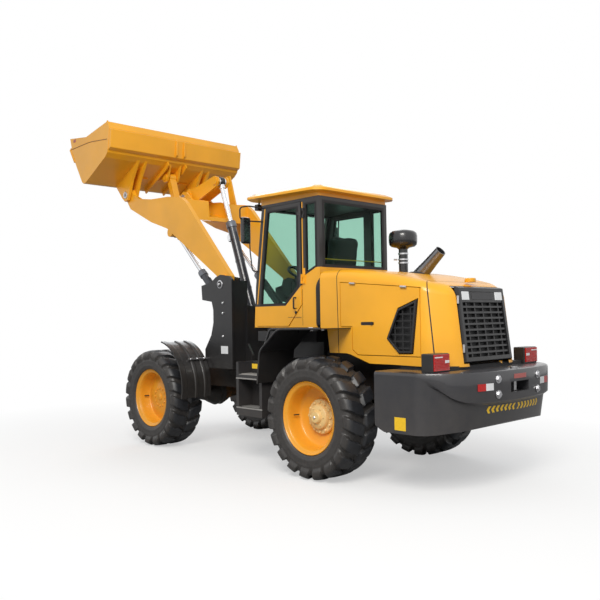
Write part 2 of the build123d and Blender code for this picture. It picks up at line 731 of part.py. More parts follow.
def hood_body(inset):
    """Solid of the hood, drawn in by `inset` on its sides, top and rear."""
    side_plate(HOOD_SIDE, -HOOD_HALF - 1, HOOD_HALF + 1)
    with BuildSketch(Plane.XY.offset(900)) as plan:
        with BuildLine():
            Polyline(*HOOD_PLAN, close=True)
        make_face()
    extrude(plan.sketch, amount=1300, mode=Mode.INTERSECT)


DOOR_GAP = 5                # round the hood's doors
HOOD_INNER = HOOD_HALF - HOOD_SHEET


def rear_face_x(z):
    """Where the hood's sloping rear face lies at height z."""
    top, foot = HOOD_SIDE[4], HOOD_SIDE[5]
    return top[0] + (foot[0] - top[0]) * (top[1] - z) / (top[1] - foot[1])


SIDE_HINGES = (-1650, -2270)    # x of the side doors' hinges, on their top edge
REAR_HINGES = (1250, 1680)      # z of the rear door's hinges, on its left edge
HINGE_OUT = 14                  # from a panel's face to its hinge's axis
HINGE_SHIFT = HINGE_OUT - LEAF / 2


def side_hinge_plane(x, side):
    """Axis plane of a side door's hinge; its x direction points up the hood."""
    start, end = SIDE_DOOR[1], SIDE_DOOR[2]
    slope = (start[1] - end[1]) / (start[0] - end[0])
    z = start[1] + slope * (x - start[0])
    return Plane(
        origin=(x, side * (HOOD_HALF + HINGE_OUT), z), x_dir=(-slope, 0, 1), z_dir=(1, 0, slope)
    )


def rear_hinge_plane(z):
    """Axis plane of the rear door's hinge; its x direction points to the left."""
    half, foot, head = REAR_DOOR
    way = (rear_face_x(head) - rear_face_x(foot), 0, head - foot)
    return Plane(origin=(rear_face_x(z) - HINGE_OUT, half, z), x_dir=(0, 1, 0), z_dir=way)


with BuildPart() as hood:
    hood_body(0)
    with BuildSketch(Plane.XZ.offset(-HOOD_INNER)) as inside:
        with BuildLine():
            Polyline(
                (-1150, 1000), (-1150, 2000), (-1700, 1985), (-2345, 1900), (-2642, 1815),
                (-2735, 1000), close=True,
            )
        make_face()
    extrude(inside.sketch, amount=2 * HOOD_INNER, mode=Mode.SUBTRACT)
    # openings of the side doors and of the rear door
    with BuildSketch(Plane.XZ.offset(-HOOD_HALF - 10)) as opening:
        with BuildLine():
            Polyline(*SIDE_DOOR, close=True)
        make_face()
        offset(amount=DOOR_GAP, kind=Kind.INTERSECTION)
    extrude(opening.sketch, amount=2 * HOOD_HALF + 20, mode=Mode.SUBTRACT)
    half, foot, head = REAR_DOOR
    block(
        (-2900, -2500), (-half - DOOR_GAP, half + DOOR_GAP), (foot - DOOR_GAP, head + DOOR_GAP),
        mode=Mode.SUBTRACT,
    )
    # bulkhead at the cab end carries the hood on the frame
    block((-1225, -1200), (-HOOD_INNER, HOOD_INNER), (1430, 1980))
    block((-1225, -1200), (-RAIL[1], RAIL[1]), (1180, 1430))
    for x in SIDE_HINGES:
        for side in (-1, 1):
            fixed_hinge(side_hinge_plane(x, side), 45, side * HINGE_SHIFT)
    for z in REAR_HINGES:
        fixed_hinge(rear_hinge_plane(z), 40, -HINGE_SHIFT)
save("hood", hood.part)

# hexagonal air opening of a side door
HEXAGON = [(-2380, 1680), (-2140, 1610), (-2010, 1330), (-2160, 1215), (-2330, 1215), (-2400, 1400)]

for name, side in (("left", 1), ("right", -1)):
    near, far = sorted((side * HOOD_INNER, side * HOOD_HALF))
    with BuildPart() as hood_door:
        side_plate(SIDE_DOOR, near, far)
        side_plate(HEXAGON, near - 1, far + 1, mode=Mode.SUBTRACT)
        # louvres across the opening
        for row in range(7):
            z = 1240 + row * 62
            block((-2405, -2005), (near, far), (z, z + 22))
        for x in SIDE_HINGES:
            moving_hinge(side_hinge_plane(x, side), -45, side * HINGE_SHIFT)
    save("hood_door_" + name, hood_door.part)

with BuildPart() as rear_grille:
    half, foot, head = REAR_DOOR
    side_plate(
        [
            (rear_face_x(head), head), (rear_face_x(foot), foot),
            (rear_face_x(foot) + 30, foot), (rear_face_x(head) + 30, head),
        ],
        -half, half,
    )
    for row in range(5):
        for column in range(5):
            y = (column - 2) * 140
            z = foot + 80 + row * 115
            block((-2900, -2500), (y - 52, y + 52), (z - 38, z + 38), mode=Mode.SUBTRACT)
    for z in REAR_HINGES:
        moving_hinge(rear_hinge_plane(z), -40, -HINGE_SHIFT)
save("rear_grille", rear_grille.part)

# ================================================================ cab
CAB_SIDE = [
    (-70, CAB_FLOOR), (-100, 1900), (-224, CAB_TOP), (-1121, CAB_TOP), (-1121, CAB_FLOOR),
]
# door and window outlines in X-Z
DOOR = [(-125, 1455), (-155, 1900), (-275, 2765), (-850, 2765), (-850, 1680), (-640, 1455)]
DOOR_PANE = [(-190, 1690), (-210, 1900), (-325, 2715), (-800, 2715), (-800, 1870), (-600, 1690)]
QUARTER_PANE = [(-915, 2000), (-915, 2740), (-1075, 2740), (-1075, 2073)]
PANE_Y = 15                 # how deep a pane sits behind the cab's outer face
cab_inner = CAB_HALF - CAB_WALL


def grown(points, amount):
    """Face in X-Z of an outline grown (or shrunk) all round, on the plane y = 0."""
    with BuildSketch(Plane.XZ) as shape:
        with BuildLine():
            Polyline(*points, close=True)
        make_face()
        if amount:
            offset(amount=amount, kind=Kind.INTERSECTION)
    return shape.sketch


def cut_both_sides(points, amount=0.0):
    """Cut an X-Z outline through both side walls of the cab."""
    for far in (CAB_HALF + 1, -cab_inner + 1):
        cutter = grown(points, amount).moved(Location((0, far, 0)))
        extrude(cutter, amount=CAB_WALL + 2, mode=Mode.SUBTRACT)


CAB_HINGES = (1949, 2644)       # z of the door's hinges
CAB_HINGE_AT = (-862, CAB_HALF + 8 + HINGE_OUT)


def cab_hinge_plane(z, side):
    """Axis plane of a cab door's hinge; its x direction points rearwards."""
    return Plane(origin=(CAB_HINGE_AT[0], side * CAB_HINGE_AT[1], z), x_dir=(-1, 0, 0), z_dir=(0, 0, 1))


with BuildPart() as cab_frame:
    side_plate(CAB_SIDE, -CAB_HALF, CAB_HALF)
    extrude(grown(CAB_SIDE, -CAB_WALL), amount=cab_inner, both=True, mode=Mode.SUBTRACT)
    cut_both_sides(DOOR, DOOR_GAP)
    cut_both_sides(QUARTER_PANE)
    # front and rear windows
    block((-400, 100), (-CAB_HALF + 70, CAB_HALF - 70), (1620, CAB_TOP - 60), mode=Mode.SUBTRACT)
    block((-1200, -1000), (-CAB_HALF + 60, CAB_HALF - 60), (2073, CAB_TOP - 50), mode=Mode.SUBTRACT)
    for z in CAB_HINGES:
        for side in (-1, 1):
            block((-905, -858), sorted((side * CAB_HALF, side * (CAB_HALF + 8))), (z - 50, z + 50))
            fixed_hinge(cab_hinge_plane(z, side), 43, side * HINGE_SHIFT)
save("cab_frame", cab_frame.part)

ROOF_SIDE = [
    (-1200, CAB_TOP), (-1215, 2850), (-1170, 2905), (-900, 2940), (-200, 2945), (0, 2925), (36, 2880),
    (20, CAB_TOP),
]

with BuildPart() as cab_roof:
    side_plate(ROOF_SIDE, -610, 610)
save("cab_roof", cab_roof.part)

for name, side in (("left", 1), ("right", -1)):
    near, far = sorted((side * (CAB_HALF - 30), side * (CAB_HALF + 8)))
    with BuildPart() as cab_door:
        side_plate(DOOR, near, far)
        side_plate(DOOR_PANE, near - 1, far + 1, mode=Mode.SUBTRACT)
        for z in CAB_HINGES:
            moving_hinge(cab_hinge_plane(z, side), -50, side * HINGE_SHIFT)
    save("cab_door_" + name, cab_door.part)
    near, far = sorted((side * (CAB_HALF - PANE_Y), side * (CAB_HALF - PANE_Y + GLASS)))
    with BuildPart() as door_glass:
        extrude(grown(DOOR_PANE, -PIN_FIT).moved(Location((0, far, 0))), amount=GLASS)
    save("door_glass_" + name, door_glass.part)

with BuildPart() as operator_seat:
    block((-900, -480), (-240, 240), (1640, 1760))
    side_plate([(-900, 1760), (-790, 1760), (-880, 2420), (-960, 2420)], -230, 230)
    block((-800, -560), (-120, 120), (CAB_FLOOR + CAB_WALL, 1640))
save("operator_seat", operator_seat.part)

with BuildPart() as console:
    side_plate([(-150, 1480), (-250, 1480), (-330, 1980), (-230, 2020)], -60, 60)
    with BuildSketch(Plane(origin=(-300, 0, 2040), z_dir=(-0.5, 0, 0.866))) as wheel_ring:
        Circle(190)
        Circle(165, mode=Mode.SUBTRACT)
        Rectangle(340, 30)
    extrude(wheel_ring.sketch, amount=22)
    round_bar(Plane(origin=(-270, 0, 1988), z_dir=(-0.5, 0, 0.866)), 20, 75)
save("console", console.part)

# ================================================================ body pieces
FENDER = 8

with BuildPart() as rear_fenders:
    side_plate(
        [
            (-690, 880), (-730, 1210), (-1010, 1432), (-1616, 1438), (-1616, 1438 - FENDER),
            (-1012, 1424), (-740, 1206), (-698, 880),
        ],
        HOOD_HALF, 1040,
    )
    side_plate(
        [
            (-690, 880), (-730, 1210), (-1010, 1432), (-1190, 1433), (-1190, 1433 - FENDER),
            (-1012, 1424), (-740, 1206), (-698, 880),
        ],
        560, HOOD_HALF,
    )
    mirror(about=Plane.XZ)
save("rear_fenders", rear_fenders.part)

with BuildPart() as front_fenders:
    side_plate(
        [
            (1100, 1275), (840, 1140), (690, 900), (677, 627), (677 + FENDER, 627),
            (698, 895), (848, 1132), (1104, 1267),
        ],
        EAR_OUTER[1], 1040,
    )
    mirror(about=Plane.XZ)
save("front_fenders", front_fenders.part)

STEP_BOX = ((-660, -240), (RAIL[1], 950), (515, 1080))

with BuildPart() as step_boxes:
    block(*STEP_BOX)
    for low, high in ((605, 900), (950, 1200)):
        block((-620, -280), (760, 960), (low, high), mode=Mode.SUBTRACT)
    mirror(about=Plane.XZ)
save("step_boxes", step_boxes.part)

with BuildPart() as exhaust_pipe:
    with BuildSketch(Plane(origin=(-1840, -150, 1940), z_dir=(-0.75, 0, 0.66))) as pipe:
        Circle(45)
        Circle(40, mode=Mode.SUBTRACT)
    extrude(pipe.sketch, amount=330)
    side_plate([*HOOD_TOP, (-2350, 1500), (-1200, 1500)], -400, 0, mode=Mode.SUBTRACT)
save("exhaust_pipe", exhaust_pipe.part)

with BuildPart() as air_precleaner:
    with BuildSketch(Plane.XY.offset(1980)) as stem:
        with Locations((-1660, -150)):
            Circle(50)
    extrude(stem.sketch, amount=275)
    side_plate([*HOOD_TOP, (-2350, 1500), (-1200, 1500)], -400, 0, mode=Mode.SUBTRACT)
    with BuildSketch(Plane.XY.offset(2255)) as bowl:
        with Locations((-1660, -150)):
            Circle(105)
    extrude(bowl.sketch, amount=160)
save("air_precleaner", air_precleaner.part)

with BuildPart() as lamp_housings:
    block((-2760, -2690), (620, 900), (1040, 1240))
    mirror(about=Plane.XZ)
save("lamp_housings", lamp_housings.part)

with BuildPart() as mirrors:
    block((-150, -110), (640, 800), (2374, 2676))
    block((-140, -120), (CAB_HALF, 640), (2640, 2660))
    block((-250, -140), (CAB_HALF, CAB_HALF + 16), (2640, 2660))
    mirror(about=Plane.XZ)
save("mirrors", mirrors.part)
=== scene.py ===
# %% [markdown]
# # A compact wheel loader, dressed
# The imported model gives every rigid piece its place. This lesson adds what the eye expects on
# top of it: a camera and studio, paint and rubber with a believable surface, and the small
# fittings that a machine shop would bolt on last.

# %% Load the frame and keep its box
import json
import math

import bmesh
import bpy
import numpy as np
from mathutils import Matrix, Vector


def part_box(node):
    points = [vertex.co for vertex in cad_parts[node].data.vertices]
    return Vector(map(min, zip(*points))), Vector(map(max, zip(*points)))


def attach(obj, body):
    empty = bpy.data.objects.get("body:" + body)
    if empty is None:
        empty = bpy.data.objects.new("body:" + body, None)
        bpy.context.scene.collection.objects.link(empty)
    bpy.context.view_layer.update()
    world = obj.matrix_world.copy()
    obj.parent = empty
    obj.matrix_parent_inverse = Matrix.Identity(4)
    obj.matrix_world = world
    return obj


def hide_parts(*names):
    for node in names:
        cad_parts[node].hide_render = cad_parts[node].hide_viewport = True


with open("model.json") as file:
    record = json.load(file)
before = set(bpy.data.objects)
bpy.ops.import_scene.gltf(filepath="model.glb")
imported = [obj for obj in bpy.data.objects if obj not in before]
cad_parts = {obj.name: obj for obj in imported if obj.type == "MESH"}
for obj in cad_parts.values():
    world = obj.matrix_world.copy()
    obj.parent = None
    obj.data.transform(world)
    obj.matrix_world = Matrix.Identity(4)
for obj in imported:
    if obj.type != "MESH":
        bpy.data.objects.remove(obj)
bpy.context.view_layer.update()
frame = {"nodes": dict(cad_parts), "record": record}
nodes = frame["nodes"]

# %% [markdown]
# ## The camera
# A machine this size is shown from one rear corner, at chest height. A long lens far
# away would flatten it, so the lens is a moderate 43 mm and the camera stands about eight
# metres off. The rotation is built from three angles, because they are easier to read than a
# matrix: the turn about the vertical, the tip upwards and a hair of roll.

# %% Place the camera
CAMERA_AT = Vector((-6.318, 5.740, 1.5395))
CAMERA_TURN = -0.7575
CAMERA_TIP = 0.025
CAMERA_ROLL = -0.0154
LENS_MM = 43.04
SENSOR_MM = 36.0

forward = Vector((
    math.cos(CAMERA_TIP) * math.cos(CAMERA_TURN),
    math.cos(CAMERA_TIP) * math.sin(CAMERA_TURN),
    math.sin(CAMERA_TIP),
))
level_right = Vector((math.sin(CAMERA_TURN), -math.cos(CAMERA_TURN), 0.0))
level_up = level_right.cross(forward)
right = math.cos(CAMERA_ROLL) * level_right + math.sin(CAMERA_ROLL) * level_up
up = math.cos(CAMERA_ROLL) * level_up - math.sin(CAMERA_ROLL) * level_right

camera_data = bpy.data.cameras.new("camera")
camera_data.lens = LENS_MM
camera_data.sensor_width = SENSOR_MM
camera_data.clip_end = 200.0
camera = bpy.data.objects.new("camera", camera_data)
bpy.context.scene.collection.objects.link(camera)
camera.matrix_world = (
    Matrix.Translation(CAMERA_AT) @ Matrix((right, up, -forward)).transposed().to_4x4()
)
bpy.context.scene.camera = camera
print("camera at", tuple(round(v, 3) for v in CAMERA_AT))

# %% [markdown]
# ## Making a material from nodes
# Every finish here is a small graph that ends in one Principled shader. The helpers below only
# save typing: one makes a node and fills its sockets, one wires a ramp between two colours.
# Patterns read Object coordinates, so they sit still on the metal when a part moves.

# %% Helpers for node graphs
def start_material(name):
    """A new material with a Principled shader wired to its output."""
    material = bpy.data.materials.new(name)
    material.use_nodes = True
    graph = material.node_tree
    graph.nodes.clear()
    output = graph.nodes.new("ShaderNodeOutputMaterial")
    shader = graph.nodes.new("ShaderNodeBsdfPrincipled")
    graph.links.new(shader.outputs["BSDF"], output.inputs["Surface"])
    return material, graph, shader


def node(graph, kind, settings=None, **sockets):
    """A node with its properties and its input sockets set; a socket value may be an output."""
    made = graph.nodes.new("ShaderNode" + kind)
    for key, value in (settings or {}).items():
        setattr(made, key, value)
    for key, value in sockets.items():
        socket = made.inputs[int(key[1:])] if key[0] == "_" else made.inputs[key.replace("_", " ")]
        if isinstance(value, bpy.types.NodeSocket):
            graph.links.new(value, socket)
        else:
            socket.default_value = value
    return made


def spot(graph, scale=(1, 1, 1), move=(0, 0, 0)):
    """Object coordinates through a Mapping node: scaled and moved."""
    where = graph.nodes.new("ShaderNodeTexCoord").outputs["Object"]
    return node(graph, "Mapping", Vector=where, Scale=scale, Location=move).outputs["Vector"]


def noise(graph, where, scale, detail=4.0, roughness=0.5):
    """Grey noise of so many bumps a metre."""
    return node(
        graph, "TexNoise", Vector=where, Scale=scale, Detail=detail, Roughness=roughness
    ).outputs["Fac"]


def ramp(graph, factor, low, high, start=(0, 0, 0, 1), end=(1, 1, 1, 1)):
    """Turns a factor between low and high into a colour between start and end."""
    made = node(graph, "ValToRGB", _0=factor)
    made.color_ramp.elements[0].position = low
    made.color_ramp.elements[1].position = high
    made.color_ramp.elements[0].color = start
    made.color_ramp.elements[1].color = end
    return made.outputs["Color"]


def mix(graph, factor, first, second, how="MIX"):
    """Blends two colours by a factor."""
    made = node(graph, "Mix", {"data_type": "RGBA", "blend_type": how})
    for index, value in ((0, factor), (6, first), (7, second)):
        if isinstance(value, bpy.types.NodeSocket):
            graph.links.new(value, made.inputs[index])
        else:
            made.inputs[index].default_value = value
    return made.outputs[2]


def work(graph, how, *values):
    """A Math node's result; each value is a number or another node's output."""
    sockets = {f"_{index}": value for index, value in enumerate(values)}
    return node(graph, "Math", {"operation": how}, **sockets).outputs["Value"]


def mapped(graph, value, low, high, start, end):
    """Stretches a value from low..high to start..end and stops it there."""
    return node(
        graph, "MapRange", Value=value, _1=low, _2=high, _3=start, _4=end
    ).outputs["Result"]


def shades(colour, darken, lighten):
    """A darker and a lighter shade of a colour, by two shares of it."""
    darker = tuple(max(0.0, c * (1 - darken)) for c in colour[:3])
    lighter = tuple(min(1.0, c * (1 + lighten)) for c in colour[:3])
    return (*darker, 1.0), (*lighter, 1.0)


def bump(graph, shader, height, strength, distance):
    """Feeds a height into the shader's normal."""
    made = node(graph, "Bump", Height=height, Strength=strength, Distance=distance)
    graph.links.new(made.outputs["Normal"], shader.inputs["Normal"])


def srgb(red, green, blue):
    """A colour as a paint chart gives it, 0 to 255, in the linear numbers that a shader wants."""
    values = np.array([red, green, blue]) / 255.0
    linear = np.where(values <= 0.04045, values / 12.92, ((values + 0.055) / 1.055) ** 2.4)
    return (*[float(v) for v in linear], 1.0)


print("helpers for node graphs are ready")

# %% [markdown]
# ## Paint
# Machine paint is a thick coat over steel. Close up it has a fine orange-peel skin; from a step
# back its colour drifts a little, and dust settles towards the ground. One function makes every
# painted finish, so yellow sheet, black frame and the grey weight age in the same way.

# %% Painted steel
DUST = srgb(168, 150, 124)
DUST_FROM, DUST_FULL = 1.3, 0.1
SILL_RUN, SILL_CLIMB = (-0.600, -0.860), (1.672, 1.892)
SILL_STEP_AT, SILL_STEP = (-0.866, -0.870), 0.170


def painted(name, colour, roughness=0.34, drift=0.05, dust=0.35, coat=0.25, peel=0.02, above=None):
    """Coat of paint: slow noise shifts its colour, dust thickens below knee height. `above` paints
    another colour over a line that climbs rearwards from the door's sill to the window's."""
    material, graph, shader = start_material(name)
    where = spot(graph)
    slow = noise(graph, where, 1.7, 3.0)
    tone = ramp(graph, slow, 0.3, 0.7, *shades(colour, 2.2 * drift, drift))
    height = node(graph, "SeparateXYZ", Vector=where).outputs["Z"]
    if above:
        along = node(graph, "SeparateXYZ", Vector=where).outputs["X"]
        slant = mapped(graph, along, *SILL_RUN, *SILL_CLIMB)
        step = mapped(graph, along, *SILL_STEP_AT, 0.0, SILL_STEP)
        over = work(graph, "GREATER_THAN", height, work(graph, "ADD", slant, step))
        tone = mix(graph, over, tone, above)
    low = mapped(graph, height, DUST_FROM, DUST_FULL, 0.0, 1.0)
    grain = noise(graph, where, 9.0, 8.0, 0.65)
    film = work(graph, "MULTIPLY", work(graph, "MULTIPLY", low, grain), dust)
    graph.links.new(mix(graph, film, tone, DUST), shader.inputs["Base Color"])
    rough = mapped(graph, grain, 0.2, 0.8, roughness - 0.06, roughness + 0.1)
    graph.links.new(rough, shader.inputs["Roughness"])
    shader.inputs["Coat Weight"].default_value = coat
    shader.inputs["Coat Roughness"].default_value = 0.12
    shader.inputs["Specular IOR Level"].default_value = 0.45
    bump(graph, shader, noise(graph, where, 420.0, 2.0), peel * 10, 0.0004)
    return material


yellow_paint = painted("yellow_paint", srgb(248, 176, 34))
cab_paint = painted("cab_paint", srgb(248, 176, 34), above=srgb(40, 38, 38))
rim_paint = painted("rim_paint", srgb(244, 168, 36), roughness=0.4, dust=0.12)
hub_paint = painted("hub_paint", srgb(240, 205, 138), roughness=0.45, dust=0.12)
cream_paint = painted("cream_paint", srgb(246, 214, 140), roughness=0.42)
black_paint = painted("black_paint", srgb(31, 31, 33), roughness=0.4, dust=0.14)
weight_paint = painted("weight_paint", srgb(46, 47, 52), roughness=0.36, dust=0.14, coat=0.5)
step_paint = painted("step_paint", srgb(44, 44, 47), roughness=0.42, dust=0.14)
barrel_paint = painted("barrel_paint", srgb(52, 56, 64), roughness=0.3, coat=0.5)
print("painted finishes:", len(bpy.data.materials))

# %% [markdown]
# ## Rubber, chrome, glass and the rest
# Tyre rubber is never quite black: it bleaches to a warm grey and holds dust between the lugs.
# Chrome rods are polished metal with a faint grain. Cab glass is tinted green, and
# thin enough that it bends nothing.

# %% Rubber of a tyre
LUG_TOP, GROOVE_FLOOR = 0.570, 0.550


def tyre_rubber(name, hub):
    """Rubber whose rings and dust follow the distance from the wheel's axis at `hub`."""
    material, graph, shader = start_material(name)
    where = spot(graph, move=(-hub[0], -hub[1], -hub[2]))
    flat = spot(graph, scale=(1, 0, 1), move=(-hub[0], 0, -hub[2]))
    radius = node(graph, "VectorMath", {"operation": "LENGTH"}, _0=flat).outputs["Value"]
    grain = noise(graph, where, 26.0, 8.0, 0.7)
    tone = ramp(graph, grain, 0.3, 0.75, srgb(25, 26, 29), srgb(43, 45, 50))
    groove = mapped(graph, radius, LUG_TOP, GROOVE_FLOOR, 0.0, 0.10)
    dusty = work(graph, "MULTIPLY", groove, grain)
    graph.links.new(mix(graph, dusty, tone, DUST), shader.inputs["Base Color"])
    shader.inputs["Roughness"].default_value = 0.44
    shader.inputs["Specular IOR Level"].default_value = 0.6
    rings = work(graph, "SINE", work(graph, "MULTIPLY", radius, 420.0))
    fine = noise(graph, where, 240.0, 3.0)
    height = work(graph, "MULTIPLY_ADD", rings, 0.25, fine)
    bump(graph, shader, height, 0.15, 0.0012)
    return material


def plain(name, colour, roughness, metallic=0.0, grain=0.1, scale=60.0, **sockets):
    """Even finish with a little noise in its colour and roughness."""
    material, graph, shader = start_material(name)
    where = spot(graph)
    cloud = noise(graph, where, scale, 5.0)
    tone = ramp(graph, cloud, 0.3, 0.7, *shades(colour, grain, grain))
    graph.links.new(tone, shader.inputs["Base Color"])
    rough = mapped(graph, cloud, 0.2, 0.8, max(0.02, roughness * 0.85), min(1.0, roughness * 1.15))
    graph.links.new(rough, shader.inputs["Roughness"])
    shader.inputs["Metallic"].default_value = metallic
    for key, value in sockets.items():
        shader.inputs[key.replace("_", " ")].default_value = value
    return material


chrome = plain("chrome", (0.82, 0.83, 0.85, 1), 0.14, metallic=1.0, grain=0.04, scale=300.0)
pin_steel = plain("pin_steel", (0.42, 0.42, 0.43, 1), 0.35, metallic=1.0, scale=120.0)
bolt_steel = plain("bolt_steel", (0.62, 0.62, 0.64, 1), 0.3, metallic=1.0, scale=200.0)
cab_plastic = plain("cab_plastic", srgb(46, 47, 50), 0.6, scale=500.0)
matt_black = plain("matt_black", srgb(26, 26, 28), 0.65, scale=200.0)
cast_iron = plain("cast_iron", srgb(72, 72, 74), 0.7, scale=90.0)
seat_vinyl = plain("seat_vinyl", srgb(36, 36, 40), 0.55, scale=700.0)
pane_glass = plain(
    "pane_glass", srgb(196, 226, 214), 0.03, grain=0.01, scale=3.0,
    Transmission_Weight=1.0, IOR=1.12, Specular_IOR_Level=0.8,
)
lamp_white = plain("lamp_white", srgb(236, 238, 240), 0.25, grain=0.03, Coat_Weight=0.6)
lens_red = plain("lens_red", srgb(196, 22, 18), 0.18, grain=0.06, Coat_Weight=1.0)
plate_red = plain("plate_red", srgb(176, 96, 92), 0.45, grain=0.06)
marking_yellow = plain("marking_yellow", srgb(242, 196, 36), 0.4, grain=0.05)
tread_metal = plain("tread_metal", srgb(168, 166, 162), 0.45, metallic=0.6, scale=150.0)
gland_grey = plain("gland_grey", srgb(112, 116, 124), 0.35, metallic=0.5, scale=90.0)
weld_paint = plain("weld_paint", srgb(150, 96, 30), 0.5, scale=400.0)
glossy_black = plain("glossy_black", srgb(24, 24, 27), 0.28, grain=0.1, Coat_Weight=0.5)
stack_metal = plain("stack_metal", (0.20, 0.20, 0.21, 1), 0.22, metallic=0.9, scale=40.0)
print("finishes in all:", len(bpy.data.materials))

# %% [markdown]
# ## Which finish goes where
# A dressed part starts with every solid in its own finish. The table names the solids by how
# the shop would paint them; a wheel's rubber is made for its own hub, so its rings are centred.

# %% Give every solid its finish
FINISHES = {
    "machine_yellow": yellow_paint, "frame_black": black_paint, "weight_grey": weight_paint,
    "chrome_rod": chrome, "cylinder_black": barrel_paint, "pin_steel": pin_steel,
    "pane_glass": pane_glass, "seat_vinyl": seat_vinyl, "cab_plastic": cab_plastic,
    "cast_iron": cast_iron, "grille_black": matt_black, "step_grey": step_paint,
    "hub_cream": cream_paint,
}
slot_of = {row["node"]: row["material_slot"] for row in frame["record"]["subparts"]}
for name, solid in nodes.items():
    solid.data.materials.clear()
    if name.startswith("tyre_"):
        low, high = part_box(name)
        finish = tyre_rubber("rubber_" + name[5:], (low + high) / 2)
    elif name.startswith(("cab_frame", "cab_door")):
        finish = cab_paint
    else:
        finish = FINISHES[slot_of[name]]
    solid.data.materials.append(finish)
print("solids dressed:", len(nodes))

# %% [markdown]
# ## Ways to make a surface
# Nearly every fitting on a machine like this is one of four things: a flat outline carried
# along an axis (folded and cut plate), a profile turned about an axis (caps, bowls, hubs), a
# round bar that follows a path (rails, mirror arms), or a wall that follows a plan and draws
# in as it rises (hood, roof, cast weight). Each has one function that returns whole arrays of
# points, and `piece` turns the arrays into an object that rides on its part of the machine.

# %% Tools that return points and faces
SIDES = (("left", 1), ("right", -1))
HEXAGON = 0.577
SHARP = 35


def grid_faces(rows, columns, wrap=False):
    """Quads of a sheet of rows x columns points; wrap joins the last column to the first."""
    index = np.arange(rows * columns).reshape(rows, columns)
    if wrap:
        index = np.hstack([index, index[:, :1]])
    quads = [index[:-1, :-1], index[:-1, 1:], index[1:, 1:], index[1:, :-1]]
    return np.stack(quads, -1).reshape(-1, 4).tolist()


def prism(outline, start, end, across="Y"):
    """An outline carried along an axis: each point is the outline's, at start and again at end."""
    flat = np.asarray(outline, float)
    count = len(flat)
    twice = np.vstack([flat, flat])
    along = np.repeat([start, end], count)
    columns = {
        "Y": (twice[:, 0], along, twice[:, 1]),
        "Z": (twice[:, 0], twice[:, 1], along),
        "X": (along, twice[:, 0], twice[:, 1]),
    }[across]
    ring = np.arange(count)
    sides = np.stack([ring, (ring + 1) % count, (ring + 1) % count + count, ring + count], -1)
    return np.stack(columns, -1), [*sides.tolist(), ring[::-1].tolist(), (ring + count).tolist()]


def box(x, y, z):
    """A box between two values on each axis."""
    return prism([(x[0], y[0]), (x[1], y[0]), (x[1], y[1]), (x[0], y[1])], z[0], z[1], "Z")


def basis(way):
    """Two unit vectors square to a direction and to each other."""
    way = np.asarray(way, float) / np.linalg.norm(way)
    aside = np.cross(way, (0, 0, 1) if abs(way[2]) < 0.9 else (1, 0, 0))
    aside /= np.linalg.norm(aside)
    return way, aside, np.cross(way, aside)


def turned(profile, at, way, steps=40):
    """A profile of (radius, height) turned about an axis: centre + height x axis + radius x
    circle."""
    way, aside, over = basis(way)
    radius, height = np.asarray(profile, float).T
    turn = np.linspace(0, 2 * np.pi, steps, endpoint=False)
    circle = np.cos(turn)[:, None] * aside + np.sin(turn)[:, None] * over
    points = (
        np.asarray(at) + height[:, None, None] * way + radius[:, None, None] * circle[None]
    )
    return points.reshape(-1, 3), grid_faces(len(radius), steps, wrap=True)


def bar(path, radius, sides=12):
    """Round bar on a path: circle square to the path's slope, the same radius all along it."""
    path = np.asarray(path, float)
    slope = np.gradient(path, axis=0)
    slope /= np.linalg.norm(slope, axis=1)[:, None]
    way = basis(path[-1] - path[0] + 1e-6)[1]
    aside = np.cross(slope, way)
    aside /= np.linalg.norm(aside, axis=1)[:, None]
    over = np.cross(slope, aside)
    turn = np.linspace(0, 2 * np.pi, sides, endpoint=False)[None, :, None]
    points = path[:, None] + radius * (
        np.cos(turn) * aside[:, None] + np.sin(turn) * over[:, None]
    )
    ring = np.arange(sides)
    last = (len(path) - 1) * sides
    caps = [ring[::-1].tolist(), (ring + last).tolist()]
    return points.reshape(-1, 3), grid_faces(len(path), sides, wrap=True) + caps


def bend(corners, radius, steps=6):
    """Path through corners, each rounded by a curve that leaves it `radius` before the corner."""
    corners = np.asarray(corners, float)
    before, after = corners[:-2] - corners[1:-1], corners[2:] - corners[1:-1]
    before *= radius / np.linalg.norm(before, axis=1)[:, None]
    after *= radius / np.linalg.norm(after, axis=1)[:, None]
    t = np.linspace(0, 1, steps)[None, :, None]
    start, middle, end = corners[1:-1] + before, corners[1:-1], corners[1:-1] + after
    curve = (
        (1 - t) ** 2 * start[:, None] + 2 * t * (1 - t) * middle[:, None] + t**2 * end[:, None]
    )
    return np.vstack([corners[:1], curve.reshape(-1, corners.shape[1]), corners[-1:]])


def heads(places, way, across=0.019, height=0.012):
    """Hexagon bolt heads: at each place a six-sided foot and a smaller six-sided crown."""
    way, aside, over = basis(way)
    places = np.asarray(places, float)
    turn = np.arange(6) * np.pi / 3
    circle = np.cos(turn)[:, None] * aside + np.sin(turn)[:, None] * over
    levels = ((across, 0.0), (across, height * 0.8), (across * 0.82, height))
    rings = np.stack([circle * size * HEXAGON + way * level for size, level in levels])
    points = places[:, None, None] + rings[None]
    wall = np.array(grid_faces(3, 6, wrap=True))
    start = np.arange(len(places)) * 18
    quads = (wall[None] + start[:, None, None]).reshape(-1, 4).tolist()
    crowns = (np.arange(12, 18)[None] + start[:, None]).tolist()
    return points.reshape(-1, 3), quads + crowns


def joined(*shapes):
    """Several (points, faces) pairs as one."""
    points, faces, start = [], [], 0
    for some_points, some_faces in shapes:
        points.append(np.asarray(some_points, float))
        faces += [[index + start for index in face] for face in some_faces]
        start += len(some_points)
    return np.vstack(points), faces


def mirrored(shape):
    """A shape and its mirror image across the machine's middle plane."""
    points, faces = shape
    other = np.asarray(points, float) * (1, -1, 1)
    return joined(shape, (other, [face[::-1] for face in faces]))


